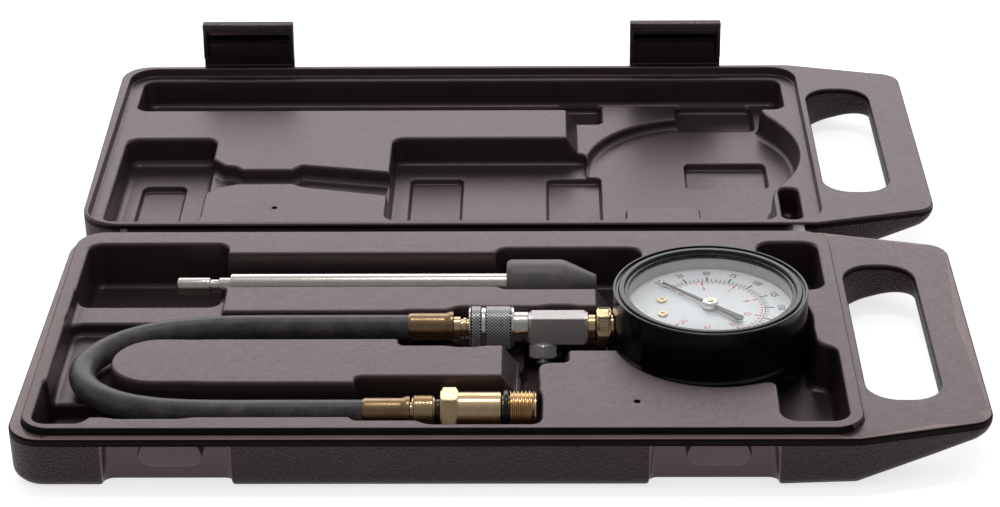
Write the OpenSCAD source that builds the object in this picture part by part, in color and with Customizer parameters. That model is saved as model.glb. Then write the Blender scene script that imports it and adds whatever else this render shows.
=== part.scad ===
// Petrol engine compression tester in its open moulded case.
// Lengths in millimetres. The case is drawn from its left end (u), from the
// hinge line (v) and from the parting plane (z), and then set on the table.

/* [Case] */
// Overall length of the case with its handle
case_l = 380; // [378:1:384]
// Depth of one half, from the hinge axis to the rim
half_d = 182.3; // [182:0.1:185]
// Height of one half
case_h = 22.3; // [22:0.1:26]
// Distance from the hinge axis to each half's back wall
hinge_gap = 4.5; // [3.5:0.5:5]
// Height of the tray platform above the base's rim
platform_h = 2.8; // [2:0.1:3]
// Depth of the lid's tray face below its rim
tray_drop = 4; // [3.8:0.1:5]
// Width of the flat rim around the tray
rim_w = 5; // [4:0.5:6]
// Length of the tray, left rim to the handle
tray_l = 324.4; // [323:0.2:326]
// Radius of the rounded lower edge
edge_r = 6; // [4:0.5:7]
// Length of the hand hole
handle_l = 115; // [105:1:120]
// Width of the hand hole
handle_w = 30; // [26:1:32]
// Height of the case at the end of its handle
handle_end_h = 10; // [9:0.5:14]
// Depth of the deep pockets below the parting plane
pocket_d = 17.6; // [17.6:0.1:18.2]
// Depth of the shelf beside the lid's tray block
shelf_d = 12; // [10:0.5:13]
// Depth of the shallow pads sunk in the lid's pocket floors
pad_drop = 2.7; // [1:0.1:2.8]

/* [Latches] */
// Width of a latch
latch_w = 44.5; // [38:0.5:45]
// Length of a latch from its hinge axis
latch_l = 23; // [22:0.5:24]
// Thickness of the latch plate
latch_t = 2.4; // [1.8:0.1:2.8]
// Angle that an open latch leans away from the case
latch_lean = 2; // [1:0.5:25]
// Width of the catch on the base
catch_w = 25; // [20:1:30]

/* [Gauge] */
// Outside diameter of the rubber boot
boot_d = 79.4; // [78:0.2:80]
// Wall of the rubber boot
boot_wall = 3.9; // [3.5:0.1:4.5]
// Height of the boot above the stem axis
boot_up = 17.9; // [17.5:0.1:18.3]
// Depth of the boot below the stem axis
boot_down = 15.3; // [15:0.1:15.6]
// Depth from the boot's rim to the dial face
dial_drop = 9.1; // [8.6:0.1:9.3]
// Length of the pointer from the centre to its tip
pointer_l = 28.5; // [24:0.5:30]
// Length of the pointer's tail
tail_l = 18; // [12:0.5:20]
// Module of the movement's gear teeth
gear_m = 0.4; // [0.4:0.01:0.42]
// Teeth on the pinion
pinion_n = 12; // [12:1:13]
// Teeth on a full circle of the sector
sector_n = 72; // [70:1:72]

/* [Valve and coupler] */
// Side of the square valve block
block_s = 11.5; // [11:0.5:12]
// Length of the valve block
block_l = 24.3; // [23:0.1:24.5]
// Angle that the block lies turned about the stem
block_turn = 20; // [10:1:25]
// Outside diameter of the knurled sleeve
sleeve_d = 17.6; // [17:0.2:18]
// Length of the knurled sleeve
sleeve_l = 18.5; // [18:0.5:20]
// Diameter of the coupler body
coupler_d = 13; // [12.8:0.1:13.2]
// Diameter of the plug that the coupler grips
plug_d = 7.2; // [7:0.1:7.3]
// Width across flats of the release valve's nut
nut_af = 11.2; // [10:0.1:12]

/* [Hose and adapter] */
// Outside diameter of the hose
hose_d = 10.6; // [10:0.1:10.8]
// Outside diameter of the crimped ferrules
ferrule_d = 12; // [11.6:0.1:12.4]
// Length of a ferrule
ferrule_l = 18.6; // [18:0.2:19]
// Outside diameter of the plug thread
thread_d = 18; // [17.5:0.1:18]
// Pitch of the plug thread
thread_p = 1.5; // [1.25:0.25:1.5]
// Width across flats of the adapter's hexagon
hex_af = 17.6; // [17:0.1:18]

/* [Probe] */
// Diameter of the probe tube
probe_d = 10.4; // [9.8:0.1:10.6]
// Length of the bare probe tube
probe_l = 117; // [114:1:118]
// Diameter of the rubber cone
cone_d = 22; // [20:0.5:22]
// Length of the rubber cone
cone_l = 38; // [34:1:38]

/* [Hidden] */
$fn = 64;

// Clearances
seat = 0.3;
run_fit = 0.05;
rim_gap = 0.1;

// Where the pieces lie in the tray
axis_v = 88.4;
axis_z = -2;
gauge_u = 274.5;
lower_v = half_d - 27.1;
lower_z = -3.9;
probe_v = 45;
probe_z = -5;
probe_u = 51.3;
handle_mid_v = half_d / 2 + 2.85;
handle_mid_u = 348;
latch_us = [61.6, 271.8];

// Case outline: centre, radius and height of each rounded corner
corner_r = 14;
handle_r = 10;
shoulder_r = 8;
shoulder_u = case_l - 54;
case_corners = [
    [corner_r, half_d - corner_r, corner_r, case_h],
    [20, hinge_gap + 18, 18, case_h],
    [shoulder_u, half_d - shoulder_r, shoulder_r, case_h],
    [shoulder_u, hinge_gap + shoulder_r, shoulder_r, case_h],
    [case_l - handle_r, half_d - 21.3, handle_r, handle_end_h],
    [case_l - handle_r, 26, handle_r, handle_end_h]
];

// Latches and catches
recess_w = latch_w + 3;
recess_d = 7;
lid_recess_d = 2;
flange_t = 1.6;
catch_top = 3.8;
catch_low = 12.4;
catch_out = 5.6;
latch_v = half_d + 1.9;
latch_z = -0.8;
ledge_t = 3.5;
hook_z = catch_low + 0.6;
latch_back = 1.3;
latch_reach = latch_v - half_d + latch_l * sin(latch_lean) + latch_back * cos(latch_lean);

// Gauge levels, from the stem axis
boot_r = boot_d / 2;
case_r = boot_r - boot_wall - seat;
cup_wall = 1;
cup_low = -boot_down + 2.2;
dial_z = boot_up - dial_drop;
dial_t = 0.6;
dial_r = case_r - cup_wall - seat;
lens_t = 1.8;
lens_z = boot_up - 3.7;
bezel_top = boot_up - 1.3;
zero_angle = 135;
gear_d = gear_m * (pinion_n + sector_n) / 2;
gear_t = 1.2;
pinion_t = 2.4;
shaft_r = 0.8;
plate_t = 1;
plate_low = -3.2;
plate_up = 3.2;
tail_arm = 5;
tail_angle = 70;
tube_r = 26;
screw_at = [-19.3, 5.7];
stem_in = 11;

// Stem, block and coupler along the axis, by u
hex_u = gauge_u - boot_r - 6.6;
stem_af = 14.5;
stub_r = 4.8;
block_u = hex_u - 3.6 - block_l;
collar_u = block_u - 5.8;
sleeve_u = collar_u - sleeve_l;
coupler_r = coupler_d / 2;
sleeve_r = sleeve_d / 2;
plug_r = plug_d / 2;
ball_r = 1.6;
ball_u = sleeve_u + 4.5;
chamber_r = coupler_r + 1.5;
ferrule_u = sleeve_u - 6.2 - ferrule_l;
ferrule_r = ferrule_d / 2;

// Release valve, measured out from the block's axis
nut_in = block_s / 2 + 0.7;
nut_l = 5.8;
head_in = nut_in + nut_l + 1.2;
head_l = 1.5;
head_r = 3.9;
valve_pit_d = -axis_z + (head_in + head_l) * cos(block_turn) + head_r * sin(block_turn) + seat;

// Lower end of the hose
lower_end_u = 135.9;
collar_l = 9;
hex_l = 7;
body_l = 17;
groove_l = 3;
thread_l = 10.3;
thread_r = thread_d / 2;
body_r = thread_r - 0.7;
collar2_u = lower_end_u + ferrule_l + 0.6;
washer_u = collar2_u + collar_l + 0.1;
hex2_u = washer_u + 2.1;
body_u = hex2_u + hex_l;
groove_u = body_u + body_l;
thread_u = groove_u + groove_l;

// Route of the hose, from the upper ferrule round to the lower one
hose_route = [
    [ferrule_u, axis_v, axis_z],
    [130, axis_v, axis_z], [110, axis_v, axis_z], [90, axis_v, axis_z], [74, 88.8, -2.1],
    [62, 90, -2.3], [52, 92, -2.5], [43, 95.5, -2.6], [35, 100.5, -2.8],
    [28.5, 107, -3], [24, 114.5, -3.1], [22, 122, -3.2], [23, 130, -3.3],
    [27, 138, -3.4], [33.5, 144.5, -3.5], [42, 149.5, -3.6], [52, 152.8, -3.7],
    [64, 154.6, -3.8], [80, lower_v, lower_z], [98, lower_v, lower_z], [116, lower_v, lower_z],
    [lower_end_u, lower_v, lower_z]
];

// Colours
plastic = [0.24, 0.21, 0.21];
dark = [0.07, 0.07, 0.07];
brass = [0.78, 0.6, 0.3];
nickel = [0.76, 0.75, 0.73];
steel = [0.6, 0.6, 0.6];

// Places a piece drawn in case coordinates on the table
module on_table() translate([-case_l / 2, -latch_reach / 2, case_h]) children();
// Draws the base's half: v runs towards the front
module base_side() mirror([0, 1, 0]) children();
// Gauge coordinates: centre of the dial, on the stem axis
module at_gauge() on_table() translate([gauge_u, -axis_v, axis_z]) children();
// Turned pieces on an axis along the case
module along(u, v, z) on_table() translate([u, -v, z]) rotate([0, 90, 0]) children();

// Flat rectangle with rounded corners, by its limits
module panel(u0, v0, u1, v1, r) {
    translate([u0 + r, v0]) square([u1 - u0 - 2 * r, v1 - v0]);
    translate([u0, v0 + r]) square([u1 - u0, v1 - v0 - 2 * r]);
    for (u = [u0 + r, u1 - r], v = [v0 + r, v1 - r]) translate([u, v]) circle(r);
}

// Pocket cut down to a depth below the parting plane
module pocket(depth) translate([0, 0, -depth]) linear_extrude(depth + platform_h + 1) children();

// Closed ring or tube
module tube(r_out, r_in, l) difference() {
    cylinder(r = r_out, h = l);
    translate([0, 0, -1]) cylinder(r = r_in, h = l + 2);
}

// Hexagon bar with turned ends
module hexagon(af, l) intersection() {
    cylinder(d = af / cos(30), h = l, $fn = 6);
    union() {
        cylinder(d1 = af, d2 = af + 2 * 0.9, h = 0.9);
        translate([0, 0, 0.9]) cylinder(d = af + 2 * 0.9, h = l - 1.8);
        translate([0, 0, l - 0.9]) cylinder(d1 = af + 2 * 0.9, d2 = af, h = 0.9);
    }
}

// Solid half of the case with a rounded lower edge, rising under the handle
module half_shell() hull() for (a = [0:22.5:90])
    for (c = case_corners)
        translate([c.x, c.y, -c[3] + edge_r * (1 - sin(a))])
            cylinder(r = c.z - edge_r * (1 - cos(a)), h = c[3] - edge_r * (1 - sin(a)) - rim_gap, $fn = 32);

// Hand hole through the handle
module hand_hole() translate([0, 0, -case_h - 1]) linear_extrude(case_h + 2)
    panel(handle_mid_u - handle_w / 2, handle_mid_v - handle_l / 2,
        handle_mid_u + handle_w / 2, handle_mid_v + handle_l / 2, 13);

// Recess in the front wall under the rim, behind a latch
module latch_recess(u, depth) translate([u - recess_w / 2, half_d - depth, -case_h - 1])
    cube([recess_w, depth + 1, case_h + 1 - flange_t]);

// Island that the hose bends round, between its two channels
upper_front = axis_v + 17.6;
lower_back = lower_v - 13.2;
island_r = (lower_back - upper_front) / 2;
island_v = upper_front + island_r;
module hose_island() {
    translate([52, island_v]) circle(island_r);
    polygon([[52, upper_front], [191, upper_front], [191, island_v - 11], [197, island_v],
        [192, island_v + 12], [195, lower_back], [52, lower_back]]);
}

// Room for the gauge, wider towards the front for the fingers
module gauge_bay(spare) {
    translate([gauge_u, axis_v]) circle(boot_r + spare);
    translate([gauge_u + 1, axis_v + 17]) circle(boot_r + 0.8);
}

module base_pockets() {
    pocket(pocket_d) panel(11, 20, 71.5, 66, 6);
    pocket(-probe_z + probe_d / 2 + seat) panel(68, 29.5, 200, 60, 3);
    pocket(-probe_z + cone_d / 2 + seat) panel(186, 29.5, 248.4, 62.5, 6);
    pocket(4) panel(10.5, 60, 74, 92, 4);
    pocket(-axis_z + hose_d / 2 + seat) panel(60, axis_v - 5.9, 160, upper_front, 3);
    pocket(-lower_z + hose_d / 2 + seat) difference() {
        union() {
            panel(10.5, 80, 70, lower_v + 13.6, 6);
            panel(40, lower_back - 0.5, 140, lower_v + 13.6, 3);
        }
        hose_island();
    }
    pocket(pocket_d) difference() {
        panel(9.2, lower_back - 5, 31, half_d - 8.7, 6);
        hose_island();
    }
    pocket(-lower_z + hex_af / 2 + seat) panel(132, lower_v - 18, 204.5, half_d - 10.8, 3);
    pocket(-lower_z + hex_af / 2 + seat) panel(160.5, lower_v - 5.2, 204.5, half_d - 8, 3);
    pocket(-axis_z + sleeve_r + seat) panel(148, axis_v - 6.8, 180, axis_v + 23.1, 3);
    pocket(-axis_z + sleeve_r + seat) panel(170, axis_v - 9.8, 242, axis_v + 23.1, 3);
    pocket(valve_pit_d) panel(197.5, axis_v - 4.4, 216.5, axis_v + 29.6, 3);
    pocket(pocket_d) panel(196.8, axis_v + 19.6, 204.5, lower_v - 7.2, 3);
    pocket(pocket_d) gauge_bay(2.3);
    pocket(pocket_d) panel(298, 19.5, 324, 63.5, 6);
    pocket(pocket_d) panel(297.8, axis_v + 23.6, 324, half_d - 9.9, 6);
}

module case_base() color(plastic) on_table() base_side() difference() {
    union() {
        difference() {
            union() {
                half_shell();
                translate([0, 0, -1]) linear_extrude(platform_h + 1)
                    panel(rim_w, hinge_gap + 4, rim_w + tray_l, half_d - 4.1, 12);
            }
            for (u = latch_us) latch_recess(u, recess_d);
        }
        for (u = latch_us) catch(u);
    }
    hand_hole();
    base_pockets();
    translate([242.7, half_d - 24.4, -6]) cylinder(d = 2.6, h = 12);
}

// Catch that a latch hooks under
module catch(u) translate([u, half_d - recess_d - 1, 0]) rotate([-90, 0, 0]) linear_extrude(catch_out + 1)
    intersection() {
        panel(-catch_w / 2, catch_top, catch_w / 2, catch_low + 4, 5.5);
        translate([-catch_w, catch_top]) square([2 * catch_w, catch_low - catch_top]);
    }

// Floor under the gauge in the closed lid
lid_gauge_d = pocket_d - 0.6;

// Neck-shaped channel in the lid
bottle = [[50, 82.5], [54, 82.5], [59, 75], [65, 73.5], [68, 70], [91, 70], [95, 75], [138, 66.5],
    [138, 41.5], [98, 51], [91.5, 55], [67, 54.5], [58.5, 50.5], [53, 43.5], [50, 43.5]];

module lid_pockets() {
    pocket(pocket_d) difference() {
        panel(11, half_d - 45, 322.5, half_d - 9.3, 6);
        panel(234.6, 94, 271, half_d - 23.3, 3);
    }
    pocket(pocket_d) panel(12, 16, 53.5, 104.6, 6);
    pocket(pocket_d + pad_drop) panel(25, 16, 45.5, 47, 3);
    pocket(11) polygon(bottle);
    pocket(pocket_d) panel(136, 17, 228, 104.7, 6);
    pocket(pocket_d + pad_drop) panel(145, 20, 169.5, 88, 4);
    pocket(pocket_d + pad_drop) panel(208.3, 20, 233.5, 87.5, 4);
    pocket(shelf_d) panel(220, 94, 274, half_d - 21.3, 3);
    pocket(lid_gauge_d) difference() {
        union() {
            panel(200, 17, 310, 88, 6);
            gauge_lid_room();
        }
        panel(243.5, 0, 276.5, 29.8, 4);
    }
    pocket(pocket_d + pad_drop) panel(273, 75.5, 311, 102.5, 3);
    pocket(pocket_d + pad_drop) panel(271, half_d - 41.3, 313, half_d - 10.3, 5);
    pocket(pocket_d) panel(312.8, 17, 321.8, 49, 4);
}

// Room in the closed lid for the gauge, rounder on its left than on its right
module gauge_lid_room() intersection() {
    translate([gauge_u + 6, axis_v + 1.6]) circle(boot_r + 14.8);
    translate([gauge_u - 16.5, axis_v + 1.6]) circle(boot_r + 28);
}

module case_lid() color(plastic) on_table() difference() {
    union() {
        difference() {
            half_shell();
            for (u = latch_us) latch_recess(u, lid_recess_d);
        }
        for (u = latch_us) hinge_ledge(u);
    }
    hand_hole();
    translate([0, 0, -tray_drop]) linear_extrude(tray_drop + 1)
        panel(rim_w - 0.6, hinge_gap + 3.4, rim_w + tray_l + 0.6, half_d - 3.5, 12.6);
    lid_pockets();
    translate([86.2, 29.3, -9]) cylinder(d = 2.6, h = 12);
}

// Ledge under the rim that a latch hangs on
module hinge_ledge(u) translate([u - latch_w / 2, half_d - lid_recess_d - 1, -ledge_t])
    cube([latch_w, lid_recess_d + 1, ledge_t - 0.5]);

// Thin folded strip that joins the two halves
web_t = 0.8;
web_l = 300;
module hinge_web() color(plastic) on_table() translate([21, 0, -web_t - 1.4]) rotate([90, 0, 90])
    linear_extrude(web_l) difference() {
        circle(hinge_gap);
        circle(hinge_gap - web_t);
        translate([-hinge_gap - 1, 0]) square(2 * hinge_gap + 2);
    }

// Latch: plate with side walls, a hook and an end lip, drawn upright at its hinge
module latch(u) color(plastic) on_table() translate([u, latch_v, latch_z]) rotate([-latch_lean, 0, 0]) difference() {
    union() {
        translate([-latch_w / 2, latch_back - latch_t, -0.9]) cube([latch_w, latch_t, latch_l + 0.9]);
        for (side = [-1, 1])
            translate([side * (latch_w / 2 - 1) - 1, -3.4, 4.9]) cube([2, 3.4 + latch_back, latch_l - 4.9]);
        translate([-latch_w / 2, -4.6, latch_l - 2]) cube([latch_w, 4.6, 2]);
        translate([-latch_w / 2 + 1, -5, hook_z - latch_z]) cube([latch_w - 2, 5, 1.8]);
    }
    translate([-latch_w, latch_back - latch_t - 10, 4.2]) rotate([0, 90, 0]) translate([0, 10, 0])
        cylinder(r = 0.5, h = 2 * latch_w);
}
module latch_left() latch(latch_us[0]);
module latch_right() latch(latch_us[1]);

// Rubber boot round the gauge, with a rolled rim
module gauge_boot() color(dark) at_gauge() difference() {
    rotate_extrude($fn = 96) difference() {
        union() {
            translate([0, -boot_down]) square([boot_r - 3, boot_down + boot_up]);
            translate([0, -boot_down + 3]) square([boot_r, boot_down + boot_up - 5]);
            translate([boot_r - 3, -boot_down + 3]) circle(3);
            translate([boot_r - 2, boot_up - 2]) circle(2);
            translate([0, boot_up - 2]) square([boot_r - 2, 2]);
        }
        translate([-1, cup_low - seat]) square([case_r + seat + 1, bezel_top - cup_low + 0.4]);
        translate([-1, 0]) square([case_r - 1.2 + 1, boot_up + 1]);
        translate([boot_r + 1.2, -boot_down + 12]) circle(1.6);
    }
    rotate([0, -90, 0]) cylinder(r = 5.6, h = boot_r + 5);
}

// Deep drawn steel cup
module gauge_case() color(steel) at_gauge() difference() {
    translate([0, 0, cup_low]) cylinder(r = case_r, h = lens_z - 0.8 - cup_low, $fn = 96);
    translate([0, 0, cup_low + cup_wall]) cylinder(r = case_r - cup_wall, h = 40, $fn = 96);
    rotate([0, -90, 0]) cylinder(r = 5.6, h = case_r + 5);
    translate([12, 0, cup_low - 1]) cylinder(r = 3, h = 4);
}

module bezel_ring() color(dark) at_gauge() translate([0, 0, lens_z - 0.7]) difference() {
    cylinder(r = case_r, h = bezel_top - lens_z + 0.7, $fn = 96);
    translate([0, 0, -1]) cylinder(r = dial_r + 0.1, h = lens_t + 0.2 + 1.7, $fn = 96);
    cylinder(r = case_r - 1.9, h = 10, $fn = 96);
}

module lens() color([0.9, 0.95, 1, 0.3]) at_gauge() translate([0, 0, lens_z]) cylinder(r = dial_r, h = lens_t, $fn = 96);

// Ring that holds the dial down and the lens up
module dial_spacer() color([0.7, 0.68, 0.62]) at_gauge() translate([0, 0, dial_z + 0.1])
    tube(dial_r, dial_r - 1.1, lens_z - dial_z - 0.2, $fn = 96);

module dial_plate() color("white") at_gauge() translate([0, 0, dial_z - dial_t]) difference() {
    cylinder(r = dial_r, h = dial_t, $fn = 96);
    translate([0, 0, -1]) cylinder(r = 2, h = 3);
    for (s = [-1, 1]) translate([screw_at.x, s * screw_at.y, -1]) cylinder(r = 1.1, h = 3);
    rotate(stop_angle) translate([stop_r, 0, -1]) cylinder(r = 0.65, h = 3);
}

module dial_screws() color(brass) at_gauge() for (s = [-1, 1])
    translate([screw_at.x, s * screw_at.y, dial_z]) difference() {
        union() {
            translate([0, 0, 0.05]) cylinder(r = 2.1, h = 0.5);
            translate([0, 0, 0.55]) cylinder(r1 = 2.1, r2 = 1.6, h = 0.25);
            translate([0, 0, -6]) cylinder(r = 1, h = 6.1);
        }
        translate([-3, -0.25, 0.4]) cube([6, 0.5, 1]);
    }

// Pin that the pointer rests on at zero
stop_r = pointer_l - 3;
stop_angle = zero_angle + asin(1.5 / stop_r);
module stop_pin() color(steel) at_gauge() rotate(stop_angle) translate([stop_r, 0, dial_z - 1.5])
    cylinder(r = 0.6, h = 4.2);

pointer_z = dial_z + 1.2;
module pointer() color(dark) at_gauge() rotate(zero_angle) difference() {
    union() {
        translate([0, 0, pointer_z]) linear_extrude(0.6) {
            polygon([[0, 0.8], [pointer_l - 2, 0.45], [pointer_l, 0], [pointer_l - 2, -0.45], [0, -0.8]]);
            polygon([[0, 0.8], [-tail_l, 1], [-tail_l, -1], [0, -0.8]]);
            translate([-tail_l, 0]) circle(1.6);
        }
        translate([0, 0, pointer_z - 0.4]) cylinder(r = 3.4, h = 1.8);
        translate([0, 0, pointer_z + 1.4]) cylinder(r1 = 3.4, r2 = 2.6, h = 0.6);
    }
    translate([0, 0, pointer_z - 2]) cylinder(r = shaft_r + run_fit / 2, h = 6);
}

// Outline of a spur gear: involute flanks drawn from the base circle
function involute(rb, a) = [rb * (cos(a) + a * PI / 180 * sin(a)), rb * (sin(a) - a * PI / 180 * cos(a))];
function turned(p, a) = [p.x * cos(a) - p.y * sin(a), p.x * sin(a) + p.y * cos(a)];
function flank_end(rb, r) = r > rb ? sqrt(pow(r / rb, 2) - 1) * 180 / PI : 0;
function tooth(m, n, slack) =
    let (rp = m * n / 2, rb = rp * cos(20), ra = rp + 0.8 * m, rf = rp - 1.15 * m,
        half = 90 / n - slack / rp * 180 / PI / 2 + (tan(20) * 180 / PI - 20),
        a1 = flank_end(rb, ra))
    [for (k = [0:4]) turned(involute(rb, a1 * k / 4), -half),
     for (k = [4:-1:0]) let (p = involute(rb, a1 * k / 4)) turned([p.x, -p.y], half)];
module gear(m, n, from, to, slack) {
    for (k = [from:to]) rotate(360 / n * k) {
        polygon(tooth(m, n, slack));
        translate([m * n / 2 - 1.6 * m, -m * 0.7]) square([m * max(0.5, 1.7 - n * (1 - cos(20)) / 2), m * 1.4]);
    }
}

module pinion_shaft() color(brass) at_gauge() {
    difference() {
        translate([0, 0, plate_low - 0.8]) cylinder(r = shaft_r, h = pointer_z + 1.8 - plate_low + 0.8);
        translate([-2, -0.2, pointer_z + 1.5]) cube([4, 0.4, 2]);
    }
    translate([0, 0, -0.6]) linear_extrude(pinion_t) {
        circle(gear_m * pinion_n / 2 - 1.15 * gear_m);
        rotate(90 + 180 / pinion_n) gear(gear_m, pinion_n, 0, pinion_n - 1, 0.12);
    }
}

// Toothed sector with the short arm that the link pulls
sector_span = 30;
module sector_gear() color(brass) at_gauge() translate([0, gear_d, 0]) difference() {
    union() {
        linear_extrude(gear_t) {
            circle(2.4);
            rotate(270 - 22.5) {
                intersection() {
                    difference() {
                        circle(gear_m * sector_n / 2 - 1.15 * gear_m);
                        circle(gear_m * sector_n / 2 - 2.6);
                    }
                    polygon([[0, 0], turned([40, 0], -sector_span), turned([40, 0], sector_span)]);
                }
                for (s = [-1, 1]) rotate(s * (sector_span - 5)) translate([0, -0.9])
                    square([gear_m * sector_n / 2 - 2, 1.8]);
            }
            rotate(270) gear(gear_m, sector_n, -floor((22.5 + sector_span) * sector_n / 360) + 1,
                floor((sector_span - 22.5) * sector_n / 360) - 0, 0.12);
            rotate(tail_angle) {
                translate([0, -1.1]) square([tail_arm, 2.2]);
                translate([tail_arm, 0]) circle(1.3);
            }
        }
        translate([0, 0, plate_low - 0.8]) cylinder(r = shaft_r, h = plate_up + plate_t + 0.8 - plate_low + 0.6);
        rotate(tail_angle) translate([tail_arm, 0, 0]) cylinder(r = 0.5, h = gear_t + 1);
    }
}

// Two plates, their pillars and the arm that seats on the stem
pillars = [[-4.4, -4.2], [4.4, -4.2], [6.4, gear_d + 1.8]];
module plate_outline() hull() {
    for (p = pillars) translate(p) circle(1.8, $fn = 32);
    translate([-2, gear_d + 1]) circle(2, $fn = 32);
}
module movement_frame() color(brass) at_gauge() difference() {
    union() {
        translate([0, 0, plate_low]) linear_extrude(plate_t) plate_outline();
        translate([-stem_in - 7.5, -4.5, plate_low]) cube([stem_in + 7.5, 9, plate_t]);
        translate([0, 0, plate_up]) linear_extrude(plate_t) plate_outline();
        for (p = pillars) translate([p.x, p.y, plate_low]) cylinder(r = 1.2, h = plate_up + plate_t - plate_low + 0.5);
        translate([-stem_in - 4.5, 0, plate_low + plate_t]) cylinder(r = 1.9, h = 0.9);
    }
    for (y = [0, gear_d]) translate([0, y, plate_low - 1]) cylinder(r = shaft_r + run_fit, h = 10);
}

// Flat spiral spring round the pinion shaft
spiral_n = 72;
spiral_r = [1.25, 4.4];
function spiral(k, w) = let (a = k * 1080 / spiral_n, r = spiral_r[0] + (spiral_r[1] - spiral_r[0]) * k / spiral_n + w)
    [r * cos(a), r * sin(a)];
module hairspring() color(steel) at_gauge() translate([0, 0, 2.1]) linear_extrude(0.6)
    polygon([for (k = [0:spiral_n]) spiral(k, 0), for (k = [spiral_n:-1:0]) spiral(k, 0.12)]);

// Link from the tube's tip to the sector's arm
link_l = 9.4;
module link() color(brass) at_gauge() translate([0, gear_d, gear_t + 0.1]) rotate(tail_angle)
    translate([tail_arm, 0, 0]) rotate(180 - tail_angle) linear_extrude(0.7) difference() {
        union() {
            circle(1.2);
            translate([0, -0.8]) square([link_l, 1.6]);
            translate([link_l, 0]) circle(1.2);
        }
        circle(0.55);
        translate([link_l, 0]) circle(0.45);
    }

// Flattened tube bent to an open circle, with its tip
tube_from = 206;
tube_turn = 262;
module bourdon_tube() color(brass) at_gauge() difference() {
    union() {
        rotate(tube_from) rotate_extrude(angle = tube_turn, $fn = 96) translate([tube_r, 0]) {
            square([1.2, 5.6], center = true);
            for (s = [-1, 1]) translate([0, s * 2.8]) circle(0.6);
        }
        rotate(tube_from + tube_turn) translate([tube_r - 0.9, -0.5, -3.4]) cube([2.5, 3.4, 6.8]);
        rotate(tube_from + tube_turn) translate([tube_r - 4.4, 0.2, -0.9]) cube([3.6, 2.2, 0.9]);
        rotate(tube_from) translate([tube_r - 1.6, -3.2, -3.4]) cube([3.2, 4, 6.8]);
    }
}

// Brass stem: stub, hexagon, neck and the block inside the gauge
module gauge_stem() color(brass) {
    along(hex_u, axis_v, axis_z) {
        rotate(30) hexagon(stem_af, 6);
        translate([0, 0, -3.6 - 8]) difference() {
            union() {
                cylinder(r = stub_r, h = 12);
                translate([0, 0, 8.4]) cylinder(r = stub_r + 0.5, h = 2.6);
            }
            translate([0, 0, -1]) cylinder(r = 1.6, h = 8);
        }
        translate([0, 0, 5]) cylinder(r = 5.3, h = 12);
    }
    at_gauge() difference() {
        union() {
            translate([-case_r + 3, -8.5, -5.4]) cube([case_r - 3 - stem_in - 8.5, 17, 10.8]);
            translate([-stem_in - 9, -6.5, -5.4]) cube([9, 13, plate_low + 5.4]);
            for (s = [-1, 1]) translate([screw_at.x, s * screw_at.y, 5]) cylinder(r = 2.2, h = dial_z - dial_t - 5);
        }
        for (s = [-1, 1]) translate([screw_at.x, s * screw_at.y, dial_z - 7]) cylinder(r = 1.05, h = 10);
        rotate(tube_from) translate([tube_r - 1.9, -3.5, -3.7]) cube([3.8, 8, 7.4]);
    }
}

// Block coordinates: the block's axis, turned as it lies
module at_block() along(block_u, axis_v, axis_z) rotate(-block_turn) children();
// Release valve coordinates: out of the block's lower front face
module at_valve() at_block() translate([0, 0, 6]) rotate([0, 90, 0]) children();

module valve_block() color(nickel) difference() {
    at_block() intersection() {
        translate([-block_s / 2, -block_s / 2, 0]) cube([block_s, block_s, block_l]);
        union() {
            cylinder(r1 = block_s * 0.58, r2 = block_s * 0.72, h = 1.6);
            translate([0, 0, 1.6]) cylinder(r = block_s * 0.72, h = block_l - 3.2);
            translate([0, 0, block_l - 1.6]) cylinder(r1 = block_s * 0.72, r2 = block_s * 0.58, h = 1.6);
        }
    }
    along(block_u, axis_v, axis_z) {
        translate([0, 0, -1]) cylinder(r = 1.6, h = block_l + 2);
        translate([0, 0, block_l - 8.2]) cylinder(r = stub_r + run_fit, h = 9);
    }
    at_valve() translate([0, 0, 1.2]) cylinder(r = 3.1, h = block_s);
}

module valve_nut() color(nickel) at_valve() difference() {
    union() {
        translate([0, 0, nut_in]) rotate(30) hexagon(nut_af, nut_l);
        translate([0, 0, 1.4]) cylinder(r = 3, h = nut_in);
    }
    translate([0, 0, 1]) cylinder(r = 1.9, h = 20);
    translate([0, 0, nut_in + 1]) cylinder(r = 2.7, h = 20);
}

module release_button() color(nickel) at_valve() {
    translate([0, 0, 2.6]) cylinder(r = 1.9 - run_fit, h = head_in - 2.6 + 0.5);
    translate([0, 0, nut_in + nut_l - 0.6]) cylinder(r = 2.7 - run_fit, h = head_in - nut_in - nut_l + 0.8);
    translate([0, 0, head_in]) cylinder(r = head_r, h = head_l - 0.5);
    translate([0, 0, head_in + head_l - 0.5]) cylinder(r1 = head_r, r2 = head_r - 0.5, h = 0.5);
}

// Round wire spring: one tube along a helix
function helix(r, l, turns, k, n) = [r * cos(360 * turns * k / n), r * sin(360 * turns * k / n), l * k / n];
module wire_spring(r, wire, l, turns) {
    n = turns * 10;
    sides = 6;
    slope = atan(l / turns / (2 * PI * r));
    points = [for (k = [0:n]) let (a = 360 * turns * k / n, c = helix(r, l, turns, k, n))
        for (j = [0:sides - 1]) let (b = -360 * j / sides, out = wire * cos(b), up = wire * sin(b))
            [c.x + out * cos(a) + up * sin(slope) * sin(a),
             c.y + out * sin(a) - up * sin(slope) * cos(a),
             c.z + up * cos(slope)]];
    sweep(points, n, sides);
}
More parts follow.
